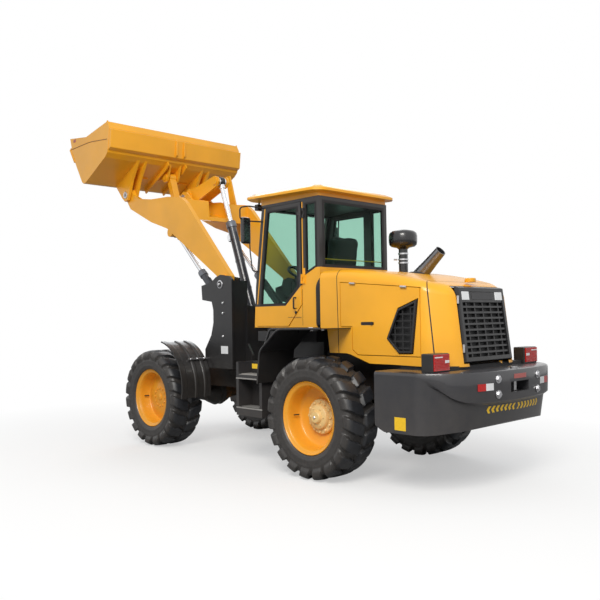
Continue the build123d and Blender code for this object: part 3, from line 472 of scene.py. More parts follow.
def on_side(shape, side):
    """A shape drawn on the machine's left, or for side -1 its mirror image on the right."""
    return np.asarray(shape[0], float) * (1, side, 1), shape[1]


def placed(name, shape):
    """An object in the scene from points and faces, with every face turned outwards."""
    mesh = bpy.data.meshes.new(name)
    mesh.from_pydata(np.asarray(shape[0]).tolist(), [], shape[1])
    surface = bmesh.new()
    surface.from_mesh(mesh)
    bmesh.ops.recalc_face_normals(surface, faces=surface.faces)
    surface.to_mesh(mesh)
    surface.free()
    made = bpy.data.objects.new(name, mesh)
    bpy.context.scene.collection.objects.link(made)
    return made


def smoothed(mesh, angle=SHARP):
    """Shades a mesh smooth, except over edges sharper than an angle."""
    mesh.shade_smooth()
    mesh.set_sharp_from_angle(angle=math.radians(angle))


def soften(made, width=0.003, angle=SHARP):
    """Rounds a piece's edges."""
    edge = made.modifiers.new("soft_edges", "BEVEL")
    edge.width = width
    edge.segments = 2
    edge.limit_method = "ANGLE"
    edge.angle_limit = math.radians(angle)
    edge.harden_normals = True


def piece(name, shape, finish, body, edge=0.0, angle=SHARP):
    """A piece of the machine: shaded smooth below an angle, its edges rounded by `edge`."""
    made = placed(name, shape)
    smoothed(made.data, angle)
    made.data.materials.append(finish)
    if edge:
        soften(made, edge, angle)
    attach(made, body)
    return made


def carved(made, *cutters):
    """Cuts closed shapes out of a closed piece, then keeps the result as its mesh."""
    tools = []
    for shape in cutters:
        tool = placed("cutter", shape)
        cut = made.modifiers.new("cut", "BOOLEAN")
        cut.operation = "DIFFERENCE"
        cut.solver = "MANIFOLD"
        cut.object = tool
        tools.append(tool)
    bpy.context.view_layer.update()
    shown = made.evaluated_get(bpy.context.evaluated_depsgraph_get())
    kept = bpy.data.meshes.new_from_object(shown)
    made.modifiers.clear()
    old, made.data = made.data, kept
    bpy.data.meshes.remove(old)
    for tool in tools:
        bpy.data.objects.remove(tool)
    smoothed(kept)


print("tools for surfaces are ready")

# %% [markdown]
# ## The hood
# The engine hood is pressed sheet: flat flanks, a rounded shoulder of almost a hand's width,
# a top that sinks to the rear, and rear corners rounded in plan. It is a wall that follows
# the plan. Going up, the plan keeps its size until the shoulder, where it draws in along a
# quarter circle. The same wall, 20 mm smaller, is cut out of it and leaves the sheet.

# %% Hood shell
HOOD_FRONT = -1.200
HOOD_HALF = 0.620
HOOD_END = (-2.590, -2.800)
HOOD_END_HALF = 0.420
CORNER = 0.150
SHOULDER = 0.096
SHEET = 0.020
RIDGE_X, RIDGE_Z = (-1.2, -1.96, -2.66), (2.020, 1.972, 1.830)
REAR_TOP_X, REAR_TOP_Z = -2.660, 1.830
REAR_RUN, REAR_RISE = 0.090, 0.740
FLANK_SHORT = 0.12
DOOR_GAP, GRILLE_GAP = 0.006, 0.005
FOOT_LINE = np.array([
    (-2.750, 1.090), (-2.150, 1.100), (-1.870, 1.100), (-1.590, 1.190), (-1.330, 1.190),
    (-1.300, 1.430), (-1.200, 1.430),
])
SIDE_DOOR = np.array([
    (-1.480, 1.450), (-1.480, 1.880), (-2.440, 1.790), (-2.440, 1.180), (-1.700, 1.180),
    (-1.632, 1.230), (-1.632, 1.450),
])
REAR_DOOR = (0.390, 1.120, 1.800)


def hood_top(x):
    """Height of the hood's ridge: the parabola through three points on it."""
    return np.polyval(np.polyfit(RIDGE_X, RIDGE_Z, 2), x)


def rear_face(z):
    """How far back the sloping rear face lies at a height."""
    return REAR_TOP_X - (REAR_TOP_Z - z) * REAR_RUN / REAR_RISE


def rounded(outline, radius, steps=7):
    """Closed outline with every corner of it cut by a curve that starts `radius` away."""
    loop = np.vstack([outline[-1:], outline, outline[:1]])
    return bend(loop, radius, steps)[1:-1]


def drawn_in(path, amount):
    """Open path moved square to itself: each point goes along the mean of its two normals."""
    slope = np.gradient(path, axis=0)
    slope /= np.linalg.norm(slope, axis=1)[:, None]
    return path + np.reshape(amount, (-1, 1)) * np.stack([-slope[:, 1], slope[:, 0]], -1)


def plan_path(front, half, ends, end_half, corner):
    """Left half of a plan, from its front edge round the rear corner to the middle line."""
    flank_end = ends[0] + FLANK_SHORT
    along = np.unique(np.concatenate([np.linspace(front, flank_end, 22), (-1.30, -1.33)]))
    flank = np.stack([along[::-1], np.full(len(along), half)], -1)
    corners = [(flank_end, half), (ends[0], half), (ends[1], end_half), (ends[1], 0.0)]
    return np.vstack([flank[:-1], bend(corners, corner * 0.55)[:-1], [(ends[1], end_half * 0.5)]])


def walled(path, rings, lean=None):
    """Closed body: rings of (how far the path draws in, height as a function of x), and its
    mirror image across the middle plane. `lean` moves a point's x by its height."""
    rows = []
    for inset, height in rings:
        moved = drawn_in(path, inset)
        moved[:, 0] = np.where(path[:, 0] > path[0, 0] - 1e-6, path[0, 0], moved[:, 0])
        z = height(moved[:, 0])
        x = lean(moved[:, 0], z) if lean else moved[:, 0]
        rows.append(np.stack([x, moved[:, 1], z], -1))
    left = np.stack(rows)
    points = np.concatenate([left, left[:, ::-1] * (1, -1, 1)], 1)
    rows, columns = points.shape[:2]
    index = np.arange(columns // 2 - 1)
    strip = np.stack([index, index + 1, columns - 2 - index, columns - 1 - index], -1)
    top = strip[:, ::-1] + (rows - 1) * columns
    front = np.arange(rows) * columns
    nose = np.concatenate([front, front[::-1] + columns - 1])
    faces = grid_faces(rows, columns) + strip.tolist() + top.tolist() + [nose.tolist()]
    return points.reshape(-1, 3), faces


def foot(x):
    """Height of the hood's lower edge."""
    return np.interp(x, FOOT_LINE[:, 0], FOOT_LINE[:, 1])


def hood_shape(inset, floor):
    """The hood drawn in by `inset` on all its faces."""
    path = plan_path(
        HOOD_FRONT - inset, HOOD_HALF - inset, np.array(HOOD_END) + inset,
        HOOD_END_HALF - inset / 2, CORNER,
    )
    turn = np.linspace(0, np.pi / 2, 9)
    curve = SHOULDER - inset
    rings = [(0.0, lambda x: foot(x) - floor)] + [
        (curve * (1 - math.cos(a)), lambda x, a=a: hood_top(x) - inset - curve * (1 - math.sin(a)))
        for a in turn
    ]
    front, back = path[0, 0], path[:, 0].min()

    def lean(x, z):
        """Where x goes when the plan is stretched from its front to the rear face."""
        return front + (x - front) * (rear_face(z) - front) / (back - front)

    return walled(path, rings, lean)


hood = piece("hood_shell", hood_shape(0.0, 0.0), yellow_paint, "rear_chassis")
middle = SIDE_DOOR.mean(0)
door_hole = SIDE_DOOR + DOOR_GAP * np.sign(SIDE_DOOR - middle)
half, low, high = REAR_DOOR
grille_hole = box(
    (-2.9, -2.5), (-half - GRILLE_GAP, half + GRILLE_GAP), (low - GRILLE_GAP, high + GRILLE_GAP)
)
carved(hood, hood_shape(SHEET, 0.3), prism(door_hole, -0.7, 0.7), grille_hole)
soften(hood, 0.002)
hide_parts("hood")
print("hood faces", len(hood.data.polygons))

# %% [markdown]
# ## Doors and grilles of the hood
# A side door is a flat panel with a five-cornered air opening. A black frame with a bevelled
# face stands proud of the sheet round it, and a mesh of flat bars lies inside. The rear grille
# is one black moulding on the sloping face: a lamp strip on top, rows of bars below.

# %% Side doors with their grilles
AIR_HOLE = np.array([
    (-2.425, 1.700), (-2.190, 1.615), (-2.055, 1.335), (-2.200, 1.195), (-2.360, 1.200),
])


def shrunk(loop, amount):
    """Closed outline moved inwards, each corner along the line that keeps both its edges even."""
    loop = np.asarray(loop, float)
    after = np.roll(loop, -1, 0)
    edge = after - loop
    edge /= np.linalg.norm(edge, axis=1)[:, None]
    turn = np.sign(np.sum(loop[:, 0] * after[:, 1] - after[:, 0] * loop[:, 1]))
    normal = np.stack([-edge[:, 1], edge[:, 0]], -1) * turn
    mean = normal + np.roll(normal, 1, 0)
    return loop + amount * mean / (1 + np.sum(normal * np.roll(normal, 1, 0), 1))[:, None]


def frame_ring(outline, width, start, end, slant=0.0, across="Y"):
    """Flat ring: an outline, the same outline drawn in by `width`, both carried along an axis;
    `slant` draws the outer edge in at the far end, which bevels it."""
    outline = np.asarray(outline, float)
    count = len(outline)
    loops = [outline, shrunk(outline, slant), shrunk(outline, width), shrunk(outline, width)]
    levels = np.repeat([start, end, end, start], count)
    flat = np.vstack(loops)
    columns = (flat[:, 0], levels, flat[:, 1]) if across == "Y" else (
        levels, flat[:, 0], flat[:, 1]
    )
    faces = np.array(grid_faces(5, count, wrap=True)) % (4 * count)
    return np.stack(columns, -1), faces.tolist()


def span(loop, level, axis):
    """Where a line at `level` enters and leaves a closed outline."""
    a, b = loop[:, axis], np.roll(loop[:, axis], -1)
    other, after = loop[:, 1 - axis], np.roll(loop[:, 1 - axis], -1)
    crosses = (a - level) * (b - level) < 0
    cut = other[crosses] + (level - a[crosses]) / (b - a)[crosses] * (after - other)[crosses]
    return cut.min(), cut.max()


LATCH = np.array([(-1.905, 1.462), (-1.745, 1.462), (-1.745, 1.492), (-1.905, 1.492)])
inner = shrunk(AIR_HOLE, 0.020)
mesh_rows = [
    box(span(inner, z, 1), (0.606, 0.614), (z - 0.007, z + 0.007))
    for z in np.arange(1.25, 1.66, 0.062)
]
mesh_columns = [
    box((x - 0.008, x + 0.008), (0.604, 0.612), span(inner, x, 0)) for x in (-2.33, -2.24, -2.15)
]
for name, side in SIDES:
    body = "hood_door_" + name
    door = piece(
        "door_panel_" + name, prism(SIDE_DOOR, side * 0.600, side * 0.620), yellow_paint, body,
    )
    carved(door, prism(AIR_HOLE, side * 0.55, side * 0.65))
    soften(door, 0.003)
    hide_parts(body)
    ring = frame_ring(AIR_HOLE, 0.030, 0.598, 0.634, 0.012)
    piece("air_frame_" + name, on_side(ring, side), black_paint, body, 0.003)
    mesh = joined(*mesh_rows, *mesh_columns, prism(inner, 0.574, 0.578))
    piece("air_mesh_" + name, on_side(mesh, side), matt_black, body, 0.002)
    plate = prism(rounded(LATCH, 0.012), 0.612, 0.6215)
    button = turned(
        [(0, 0), (0.016, 0), (0.016, 0.012), (0, 0.012)], (-1.885, 0.62, 1.477), (0, 1, 0), 20
    )
    latch = on_side(joined(plate, button), side)
    piece("door_latch_" + name, latch, matt_black, body)
print("side doors dressed")

# %% Rear grille
half, low, high = REAR_DOOR
STRIP = 0.125


def on_rear(shape):
    """A shape drawn at x = 0 laid on the hood's sloping rear face."""
    points = np.array(shape[0], float)
    points[:, 0] += rear_face(points[:, 2])
    return points, shape[1]


rear_outline = np.array([(-half, low), (half, low), (half - 0.012, high), (-half + 0.012, high)])
grille_frame = frame_ring(rear_outline, 0.048, 0.030, -0.012, 0.012, "X")
strip = box((-0.006, 0.02), (-half + 0.03, half - 0.03), (high - STRIP - 0.02, high - 0.03))
bars = [
    box((-0.002, 0.018), (-half + 0.04, half - 0.04), (z - 0.010, z + 0.010))
    for z in np.linspace(low + 0.085, high - STRIP - 0.06, 9)
]
posts = [
    box((0.000, 0.022), (y - 0.007, y + 0.007), (low + 0.04, high - STRIP))
    for y in np.linspace(-half + 0.13, half - 0.13, 5)
]
screen = box((0.026, 0.029), (-half + 0.02, half - 0.02), (low + 0.02, high - 0.02))
grille = piece(
    "grille_moulding", on_rear(joined(grille_frame, strip, *bars, *posts)), black_paint,
    "rear_grille", 0.003,
)
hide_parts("rear_grille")
piece("grille_screen", on_rear(screen), matt_black, "rear_grille")
lamp_z = (high - STRIP + 0.002, high - 0.045)
lamp_y = (half - 0.175, half - 0.055)
work_lamps = mirrored(box((-0.012, 0.0), lamp_y, lamp_z))
piece("grille_lamps", on_rear(work_lamps), lamp_white, "rear_grille", 0.004)
blank = box((-0.0095, -0.004), (-0.17, 0.17), (high - STRIP + 0.008, high - 0.055))
piece("grille_plate", on_rear(blank), cast_iron, "rear_grille", 0.002)
print("rear grille dressed")

# %% [markdown]
# ## Shut lines, seals and the filler cap
# Where two pressings meet there is a dark line a finger wide. It follows the hood's section,
# so it is drawn as a narrow band lifted a hair off the skin. A rubber seal fills the gap
# between cab and hood.

# %% Lines on the hood
def hood_band(x, width, lift=0.001):
    """Band on the hood where its plan passes x: two lines between the columns of the hood's own
    grid, on a hood drawn out by `lift`, and on over the top to the middle plane."""
    plan = plan_path(HOOD_FRONT, HOOD_HALF, HOOD_END, HOOD_END_HALF, CORNER)[:, 0]
    left = hood_shape(-lift, 0.0)[0].reshape(10, 2 * len(plan), 3)[:, :len(plan)]
    at = np.interp((width / 2 - x, -width / 2 - x), -plan, np.arange(len(plan)))
    before = np.floor(at).astype(int)
    share = (at - before)[None, :, None]
    line = left[:, before] * (1 - share) + left[:, before + 1] * share
    line = np.concatenate([line, line[-1:] * (1, 0, 1)])
    return mirrored((line.reshape(-1, 3), grid_faces(len(line), 2)))


lines = joined(hood_band(-1.461, 0.009), hood_band(-2.620, 0.010))
piece("hood_lines", lines, matt_black, "rear_chassis")
seal_side = [
    (0.600, 1.44), (0.600, 1.88), (0.52, 1.975), (-0.52, 1.975), (-0.600, 1.88), (-0.600, 1.44)
]
piece("cab_seal", prism(rounded(np.array(seal_side), 0.05), -1.201, -1.120, "X"), matt_black,
      "rear_chassis")
cap = turned(
    [(0, 0), (0.052, 0), (0.052, 0.030), (0.046, 0.038), (0, 0.040)], (-2.56, 0, 1.848), (0, 0, 1)
)
piece("filler_cap", cap, yellow_paint, "rear_chassis", 0.003)
print("hood lines drawn")

# %% Hinges of the hood doors and the grille
def knuckle(at, way, length=0.070, radius=0.011):
    """Hinge barrel: a short closed turned rod along its own pin."""
    half_length = length / 2
    profile = [(0, -half_length), (radius, -half_length), (radius, half_length), (0, half_length)]
    return turned(profile, at, way, 20)


DOOR_PIN = np.array([(-1.480, 1.880), (-2.440, 1.790)])
slope = np.diff(DOOR_PIN, axis=0)[0]
door_pins = [
    (x, DOOR_PIN[0, 1] + (x - DOOR_PIN[0, 0]) * slope[1] / slope[0]) for x in (-1.650, -2.270)
]
door_knuckles = joined(*[knuckle((x, 0.630, z), (slope[0], 0, slope[1])) for x, z in door_pins])
piece("door_hinges", mirrored(door_knuckles), bolt_steel, "rear_chassis")
rear_knuckles = joined(
    *[knuckle((rear_face(z) - 0.006, 0.392, z), (0, 0, 1)) for z in (1.250, 1.680)]
)
piece("grille_hinges", rear_knuckles, bolt_steel, "rear_chassis")
print("hinges are on")

# %% [markdown]
# ## The counterweight
# The weight is one heavy casting. Its flanks are flat, its rear corners are swept round, and a
# crease starts high on each flank, dives round the corner and runs level across the rear; what
# lies below it is set back, and that edge catches the light. It is the hood's walled body
# again: the plan draws in below the crease, by a share that grows towards the rear.

# %% Cast weight with its fittings
WEIGHT_FRONT = -2.190
WEIGHT_HALF = 0.960
WEIGHT_TOP = 1.066


def arc(first, middle, last, steps):
    """Points on the circle through three points, evenly spread in angle."""
    a, b, c = (complex(*point) for point in (first, middle, last))
    w = (c - a) / (b - a)
    centre = (b - a) * (w - abs(w) ** 2) / (2j * w.imag) + a
    start, _, end = np.unwrap(np.angle([a - centre, b - centre, c - centre]))
    turn = np.linspace(start, end, steps)
    radius = abs(a - centre)
    return np.stack([centre.real + radius * np.cos(turn), centre.imag + radius * np.sin(turn)], -1)


WEIGHT_CORNER = ((-2.620, 0.960), (-2.880, 0.790), (-3.005, 0.520))
WEIGHT_BOW = ((-3.005, 0.520), (-3.050, 0.0), (-3.005, -0.520))
flank = np.stack([np.linspace(WEIGHT_FRONT, -2.60, 9), np.full(9, WEIGHT_HALF)], -1)
bow = arc(*WEIGHT_BOW, 17)[:9]
weight_path = np.vstack([flank, arc(*WEIGHT_CORNER, 17)[:-1], bow])
swept = np.clip((-2.66 - weight_path[:, 0]) / 0.17, 0, 1)
swept = swept * swept * (3 - 2 * swept)


def weight_foot(x):
    """Height of the casting's lower edge: it rises at both ends."""
    return np.interp(
        x, (-3.05, -3.0, -2.9, -2.75, -2.275, -2.19), (0.64, 0.615, 0.575, 0.548, 0.546, 0.60)
    )


def crease(x):
    """Height of the crease: high on the flank, level across the rear."""
    return np.interp(
        x, (-3.05, -2.95, -2.88, -2.80, -2.72, -2.62), (0.800, 0.812, 0.850, 0.925, 0.990, 1.020)
    )


weight_rings = [
    (0.075 * swept, weight_foot),
    (0.042 * swept, lambda x: crease(x) - 0.030),
    (0.004 * swept, lambda x: crease(x) + 0.006),
    (0.0, lambda x: np.maximum(crease(x) + 0.014, WEIGHT_TOP - 0.14)),
    (0.0, lambda x: 0 * x + WEIGHT_TOP - 0.020),
    (0.006, lambda x: 0 * x + WEIGHT_TOP - 0.006),
    (0.020, lambda x: 0 * x + WEIGHT_TOP),
]
weight = piece(
    "cast_weight", walled(weight_path, weight_rings), weight_paint, "rear_chassis"
)
carved(
    weight,
    box((-2.56, -2.1), (-0.33, 0.33), (0.4, 1.3)),
    box((-3.2, -2.92), (-0.15, 0.15), (0.870, 0.960)),
)
soften(weight, 0.004)
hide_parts("counterweight")
tow_pin = turned(
    [(0, -0.19), (0.019, -0.19), (0.019, 0), (0.034, 0), (0.034, 0.014), (0, 0.016)],
    (-2.99, 0, WEIGHT_TOP), (0, 0, 1), 24,
)
piece("tow_pin", tow_pin, pin_steel, "rear_chassis")


WEIGHT_REAR = -3.050
BOW_RATE = 0.165
REAR_CREASE = crease(-3.02)
CREASE_DROP, CREASE_DEPTH, UNDERCUT = 0.030, 0.045, 0.20


def on_weight(shape):
    """A flat shape drawn at x = 0 bent onto the bowed rear of the weight: the parabola of the
    bow, and below the crease a step inwards and a slope."""
    points = np.array(shape[0], float)
    below = np.clip((REAR_CREASE - points[:, 2]) / CREASE_DROP, 0, 1)
    points[:, 0] += WEIGHT_REAR + BOW_RATE * points[:, 1] ** 2 + CREASE_DEPTH * below
    points[:, 0] += UNDERCUT * below * (REAR_CREASE - CREASE_DROP - points[:, 2])
    return points, shape[1]


def patch(y, z, steps=12, thick=0.003):
    """Thin plate with enough columns to bend."""
    across = np.linspace(*y, steps)
    face = np.array([(0.0, a, b) for a in across for b in z]).reshape(steps, 2, 3)
    both = np.concatenate([face, (face - (thick, 0, 0))[:, ::-1]], 1).reshape(-1, 3)
    last = 4 * steps
    caps = [[0, 1, 2, 3], [last - 1, last - 2, last - 3, last - 4]]
    return both, grid_faces(steps, 4, wrap=True) + caps


bolt_places = [(0, y, z) for y in (-0.33, 0.33) for z in (0.865, 0.995)]
rear_bolts = heads(bolt_places, (-1, 0, 0), 0.046, 0.020)
WASHER = [(0, 0), (0.036, 0), (0.036, 0.005), (0, 0.005)]
washers = joined(*[turned(WASHER, place, (-1, 0, 0), 24) for place in bolt_places])
piece(
    "weight_bolts", on_weight(joined(rear_bolts, washers)), bolt_steel, "rear_chassis",
    0.001,
)
REFLECTOR_Z = (0.905, 0.965)
for name, reach, finish in (
    ("red_reflectors", (0.49, 0.585), lens_red), ("white_reflectors", (0.395, 0.49), lamp_white),
):
    pair = [patch(sorted((side * reach[0], side * reach[1])), REFLECTOR_Z) for side in (1, -1)]
    piece(name, on_weight(joined(*pair)), finish, "rear_chassis")
piece("blank_red_plate", on_weight(patch((-0.10, 0.10), (0.985, 1.025))), plate_red, "rear_chassis",
      0.001)
CHEVRONS, CHEVRON_START, CHEVRON_STEP = 14, 0.40, 0.060
CHEVRON_LOW, CHEVRON_MIDDLE, CHEVRON_HIGH = 0.705, 0.735, 0.765
CHEVRON_WIDE, CHEVRON_SLOPE, FILM = 0.030, 0.022, 0.003


def chevron(y):
    """An arrowhead band that points away from the middle plane: two slanted strips."""
    tip = CHEVRON_SLOPE if y > 0 else -CHEVRON_SLOPE
    far = y - CHEVRON_WIDE
    strip = np.array([
        (0, y, CHEVRON_LOW), (0, far, CHEVRON_LOW), (0, far + tip, CHEVRON_MIDDLE),
        (0, far, CHEVRON_HIGH), (0, y, CHEVRON_HIGH), (0, y + tip, CHEVRON_MIDDLE),
    ])
    ring = np.arange(6)
    walls = np.stack([ring, (ring + 1) % 6, (ring + 1) % 6 + 6, ring + 6], -1).tolist()
    faces = [[0, 1, 2, 5], [5, 2, 3, 4], [6, 11, 8, 7], [11, 10, 9, 8], *walls]
    return np.vstack([strip, strip - (FILM, 0, 0)]), faces


chevrons = [chevron(CHEVRON_START - k * CHEVRON_STEP) for k in range(CHEVRONS)]
piece(
    "hazard_chevrons", on_weight(joined(*chevrons)), marking_yellow, "rear_chassis"
)
label = mirrored(box((-2.53, -2.41), (0.958, 0.9615), (0.575, 0.685)))
piece("blank_yellow_labels", label, marking_yellow, "rear_chassis", 0.001)
piece(
    "hood_sill", box((-2.72, -2.20), (-0.60, 0.60), (1.04, 1.098)), matt_black, "rear_chassis",
)
print("weight dressed")

# %% [markdown]
# ## Tail lamps, air cleaner, exhaust
# Each tail lamp is a black housing with a red ribbed lens to the rear. The air cleaner's bowl
# and the clamps on its stem are turned profiles. The exhaust is a stub that narrows upwards.

# %% Things that stand on the rear
housing = joined(
    box((-2.745, -2.625), (0.622, 0.862), (1.062, 1.222)),
    box((-2.72, -2.65), (0.68, 0.80), (1.040, 1.07)),
)
lamps = piece(
    "tail_lamp_housings", mirrored(housing), black_paint, "rear_chassis", 0.010
)
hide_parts("lamp_housings")
rows = [
    box((-2.756, -2.744), (0.634, 0.850), (z, z + 0.0118)) for z in np.arange(1.078, 1.205, 0.0126)
]
piece("tail_lenses", mirrored(joined(*rows)), lens_red, "rear_chassis", 0.002)
lens_bars = joined(
    box((-2.758, -2.746), (0.640, 0.700), (1.140, 1.164)),
    box((-2.758, -2.746), (0.735, 0.845), (1.186, 1.196)),
)
piece("tail_lens_bars", mirrored(lens_bars), lamp_white, "rear_chassis", 0.002)

CLEANER = [
    (0, 1.97), (0.047, 1.97), (0.047, 2.235), (0.066, 2.250), (0.120, 2.262), (0.140, 2.280),
    (0.147, 2.310), (0.147, 2.372), (0.140, 2.400), (0.118, 2.420), (0.060, 2.434), (0, 2.438),
]
cleaner_at = (-1.66, -0.15, 0)
cleaner = piece(
    "cleaner_bowl", turned(CLEANER, cleaner_at, (0, 0, 1), 56), glossy_black, "rear_chassis",
    angle=50,
)
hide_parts("air_precleaner")
CLAMP = np.array([(0.046, 0), (0.053, 0), (0.053, 0.016), (0.046, 0.016)])
clamps = [turned(CLAMP + (0, z), cleaner_at, (0, 0, 1), 40) for z in (2.085, 2.120, 2.180)]
clamp_bolt = bar([(-1.62, -0.10, 2.128), (-1.60, -0.07, 2.128)], 0.008)
piece("cleaner_clamps", joined(*clamps, clamp_bolt), bolt_steel, "rear_chassis")
STACK = [
    (0.0, 0.02), (0.078, 0.02), (0.074, 0.08), (0.062, 0.24), (0.056, 0.385), (0.048, 0.385),
    (0.050, 0.25), (0, 0.245),
]
stub = turned(STACK, (-1.84, -0.15, 1.93), (-0.75, 0, 0.66), 48)
stack = piece("exhaust_stub", stub, stack_metal, "rear_chassis")
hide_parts("exhaust_pipe")
STACK_FOOT = [(0, 0), (0.11, 0), (0.108, 0.018), (0.09, 0.028), (0, 0.03)]
stack_foot = turned(STACK_FOOT, (-1.862, -0.15, 1.962), (-0.09, 0, 1), 40)
piece("exhaust_foot", stack_foot, black_paint, "rear_chassis")
print("lamps, cleaner and exhaust stand")

# %% [markdown]
# ## The cab's glass and trim
# Panes are 6 mm sheets set a finger's width behind the frame's face, each in a rubber
# channel. A rubber channel is a flat ring that follows the pane's outline. The frame is black
# above the sill line and yellow below it; two thin yellow strips frame the door.

# %% Panes, seals and strips
DOOR_PANE = np.array([
    (-0.190, 1.690), (-0.210, 1.900), (-0.325, 2.715), (-0.800, 2.715), (-0.800, 1.870),
    (-0.600, 1.690),
])
QUARTER_PANE = np.array([(-0.915, 2.000), (-0.915, 2.740), (-1.075, 2.740), (-1.075, 2.073)])
REAR_PANE = ((-0.478, 0.478), (2.075, 2.748))
FRONT_LINE = np.array([(-0.098, 1.632), (-0.115, 1.900), (-0.232, 2.738)])

front_pane = np.vstack([FRONT_LINE, FRONT_LINE[::-1] - (0.006, 0)])
panes = joined(
    prism(front_pane, -0.468, 0.468),
    box((-1.116, -1.110), *REAR_PANE),
    mirrored(prism(shrunk(QUARTER_PANE, 0.001), 0.519, 0.525)),
)
piece("fixed_panes", panes, pane_glass, "rear_chassis")
(y_low, y_high), (z_low, z_high) = REAR_PANE
rear_outline = np.array([(y_low, z_low), (y_high, z_low), (y_high, z_high), (y_low, z_high)])
seals = joined(
    frame_ring(shrunk(rear_outline, -0.012), 0.030, -1.1235, -1.108, 0.004, "X"),
    mirrored(frame_ring(shrunk(QUARTER_PANE, -0.010), 0.024, 0.517, 0.5435, 0.004)),
)
piece("pane_seals", seals, matt_black, "rear_chassis")
DOOR_EDGE = np.array([(-0.128, 1.700), (-0.157, 1.900), (-0.278, 2.755)])
STRIP_WIDTH = 0.014
door_strip = prism(np.vstack([DOOR_EDGE, DOOR_EDGE[::-1] - (STRIP_WIDTH, 0)]), 0.5475, 0.5500)
door_seal = frame_ring(shrunk(DOOR_PANE, -0.014), 0.026, 0.524, 0.552, 0.005)
HANDLE_X, DOOR_FACE, HANDLE_OUT = -0.765, 0.548, 0.585
handle_path = [
    (HANDLE_X, DOOR_FACE, 1.755), (HANDLE_X, HANDLE_OUT, 1.755),
    (HANDLE_X, HANDLE_OUT, 1.640), (HANDLE_X, DOOR_FACE, 1.640),
]
LOCK = [(0, 0), (0.014, 0), (0.014, 0.008), (0, 0.01)]
door_handle = joined(
    bar(bend(handle_path, 0.015), 0.008),
    turned(LOCK, (HANDLE_X, DOOR_FACE, 1.60), (0, 1, 0), 20),
)
for name, side in SIDES:
    body = "cab_door_" + name
    piece("door_seal_" + name, on_side(door_seal, side), matt_black, body)
    piece("door_strip_" + name, on_side(door_strip, side), yellow_paint, body)
    piece("door_handle_" + name, on_side(door_handle, side), matt_black, body)
pillar_strip = mirrored(box((-0.878, -0.866), (0.540, 0.5430), (1.92, 2.76)))
piece("pillar_strips", pillar_strip, yellow_paint, "rear_chassis")
guard_bar = bar([(-1.10, y, 2.150) for y in (-0.475, 0, 0.475)], 0.005)
piece("rear_guard_bar", guard_bar, marking_yellow, "rear_chassis")
cab_lines = joined(
    box((-0.8605, -0.8565), (0.5392, 0.5405), (1.46, 1.84)),
    box((-0.845, -0.640), (0.5475, 0.5486), (1.545, 1.549)),
)
piece("cab_lines", mirrored(cab_lines), matt_black, "rear_chassis")
print("panes and seals are in")

# %% [markdown]
# ## The roof
# The roof is a thin plate with cut corners that overhangs a narrower header. Its crown rises
# over a sloping border. All of it is one stack of closed outlines, each the plan drawn in by
# some amount at some height.

# %% Roof plate over its header
ROOF_PLAN = np.array([
    (0.030, -0.480), (0.030, 0.480), (-0.075, 0.640), (-1.120, 0.640), (-1.212, 0.550),
    (-1.212, -0.550), (-1.120, -0.640), (-0.075, -0.640),
])
ROOF_TILT = 0.026


def stacked(outline, levels, tilt=0.0):
    """Closed outlines one above another: (drawn in by, height), joined by walls and closed."""
    loops = []
    for inset, z in levels:
        flat = shrunk(outline, inset)
        loops.append(np.stack([flat[:, 0], flat[:, 1], z + tilt * (flat[:, 0] + 0.6)], -1))
    points = np.stack(loops)
    rows, columns = points.shape[:2]
    ring = np.arange(columns)
    caps = [ring[::-1].tolist(), (ring + (rows - 1) * columns).tolist()]
    return points.reshape(-1, 3), grid_faces(rows, columns, wrap=True) + caps


ROOF_LEVELS = [
    (0.03, 2.858), (0.0, 2.862), (0.0, 2.886), (0.012, 2.894), (0.085, 2.924), (0.11, 2.927),
]
plan = rounded(ROOF_PLAN, 0.03, 4)
roof = piece(
    "roof_plate", stacked(plan, ROOF_LEVELS, ROOF_TILT), yellow_paint, "rear_chassis",
    angle=20,
)
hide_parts("cab_roof")
header_plan = np.array([(-0.190, -0.535), (-0.190, 0.535), (-1.125, 0.535), (-1.125, -0.535)])
piece("roof_header", stacked(rounded(header_plan, 0.03, 4), [(0.0, 2.800), (0.0, 2.872)]),
      yellow_paint, "rear_chassis", 0.003)
roof_lamp = joined(
    box((-0.075, -0.015), (0.385, 0.475), (2.775, 2.845)),
    box((-0.055, -0.035), (0.42, 0.44), (2.84, 2.872)),
)
piece(
    "roof_lamp_bodies", mirrored(roof_lamp), black_paint, "rear_chassis", 0.008
)
lens = box((-0.0155, -0.011), (0.393, 0.467), (2.783, 2.837))
piece("roof_lamp_lenses", mirrored(lens), lamp_white, "rear_chassis", 0.002)
print("roof is on")

# %% [markdown]
# ## Mirrors, rails and lips
# Each mirror hangs in a wire loop from the front pillar, with a long stay down to the cab's
# corner. All of these are round bars on a path with softened corners. The plate fenders get a
# rolled lip the same way.

# %% Mirrors and rails
head = box((-0.168, -0.118), (0.655, 0.775), (2.372, 2.665))
mirror_heads = piece(
    "mirror_heads", mirrored(head), glossy_black, "rear_chassis", 0.018
)
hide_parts("mirrors")
mirror_face = box((-0.1705, -0.1675), (0.672, 0.758), (2.392, 2.645))
piece(
    "mirror_faces", mirrored(mirror_face), glossy_black, "rear_chassis", 0.004
)
LOOP_PATH = [
    (-0.245, 0.535, 2.770), (-0.175, 0.700, 2.790), (-0.140, 0.790, 2.770),
    (-0.140, 0.790, 2.640), (-0.150, 0.700, 2.625), (-0.225, 0.535, 2.620),
]
STAY_PATH = [
    (-0.150, 0.668, 2.640), (-0.155, 0.665, 2.30), (-0.150, 0.630, 2.075), (-0.118, 0.535, 2.068),
]
loop, stay = bar(bend(LOOP_PATH, 0.035), 0.008), bar(bend(STAY_PATH, 0.03), 0.007)
piece("mirror_stays", mirrored(joined(loop, stay)), matt_black, "rear_chassis")
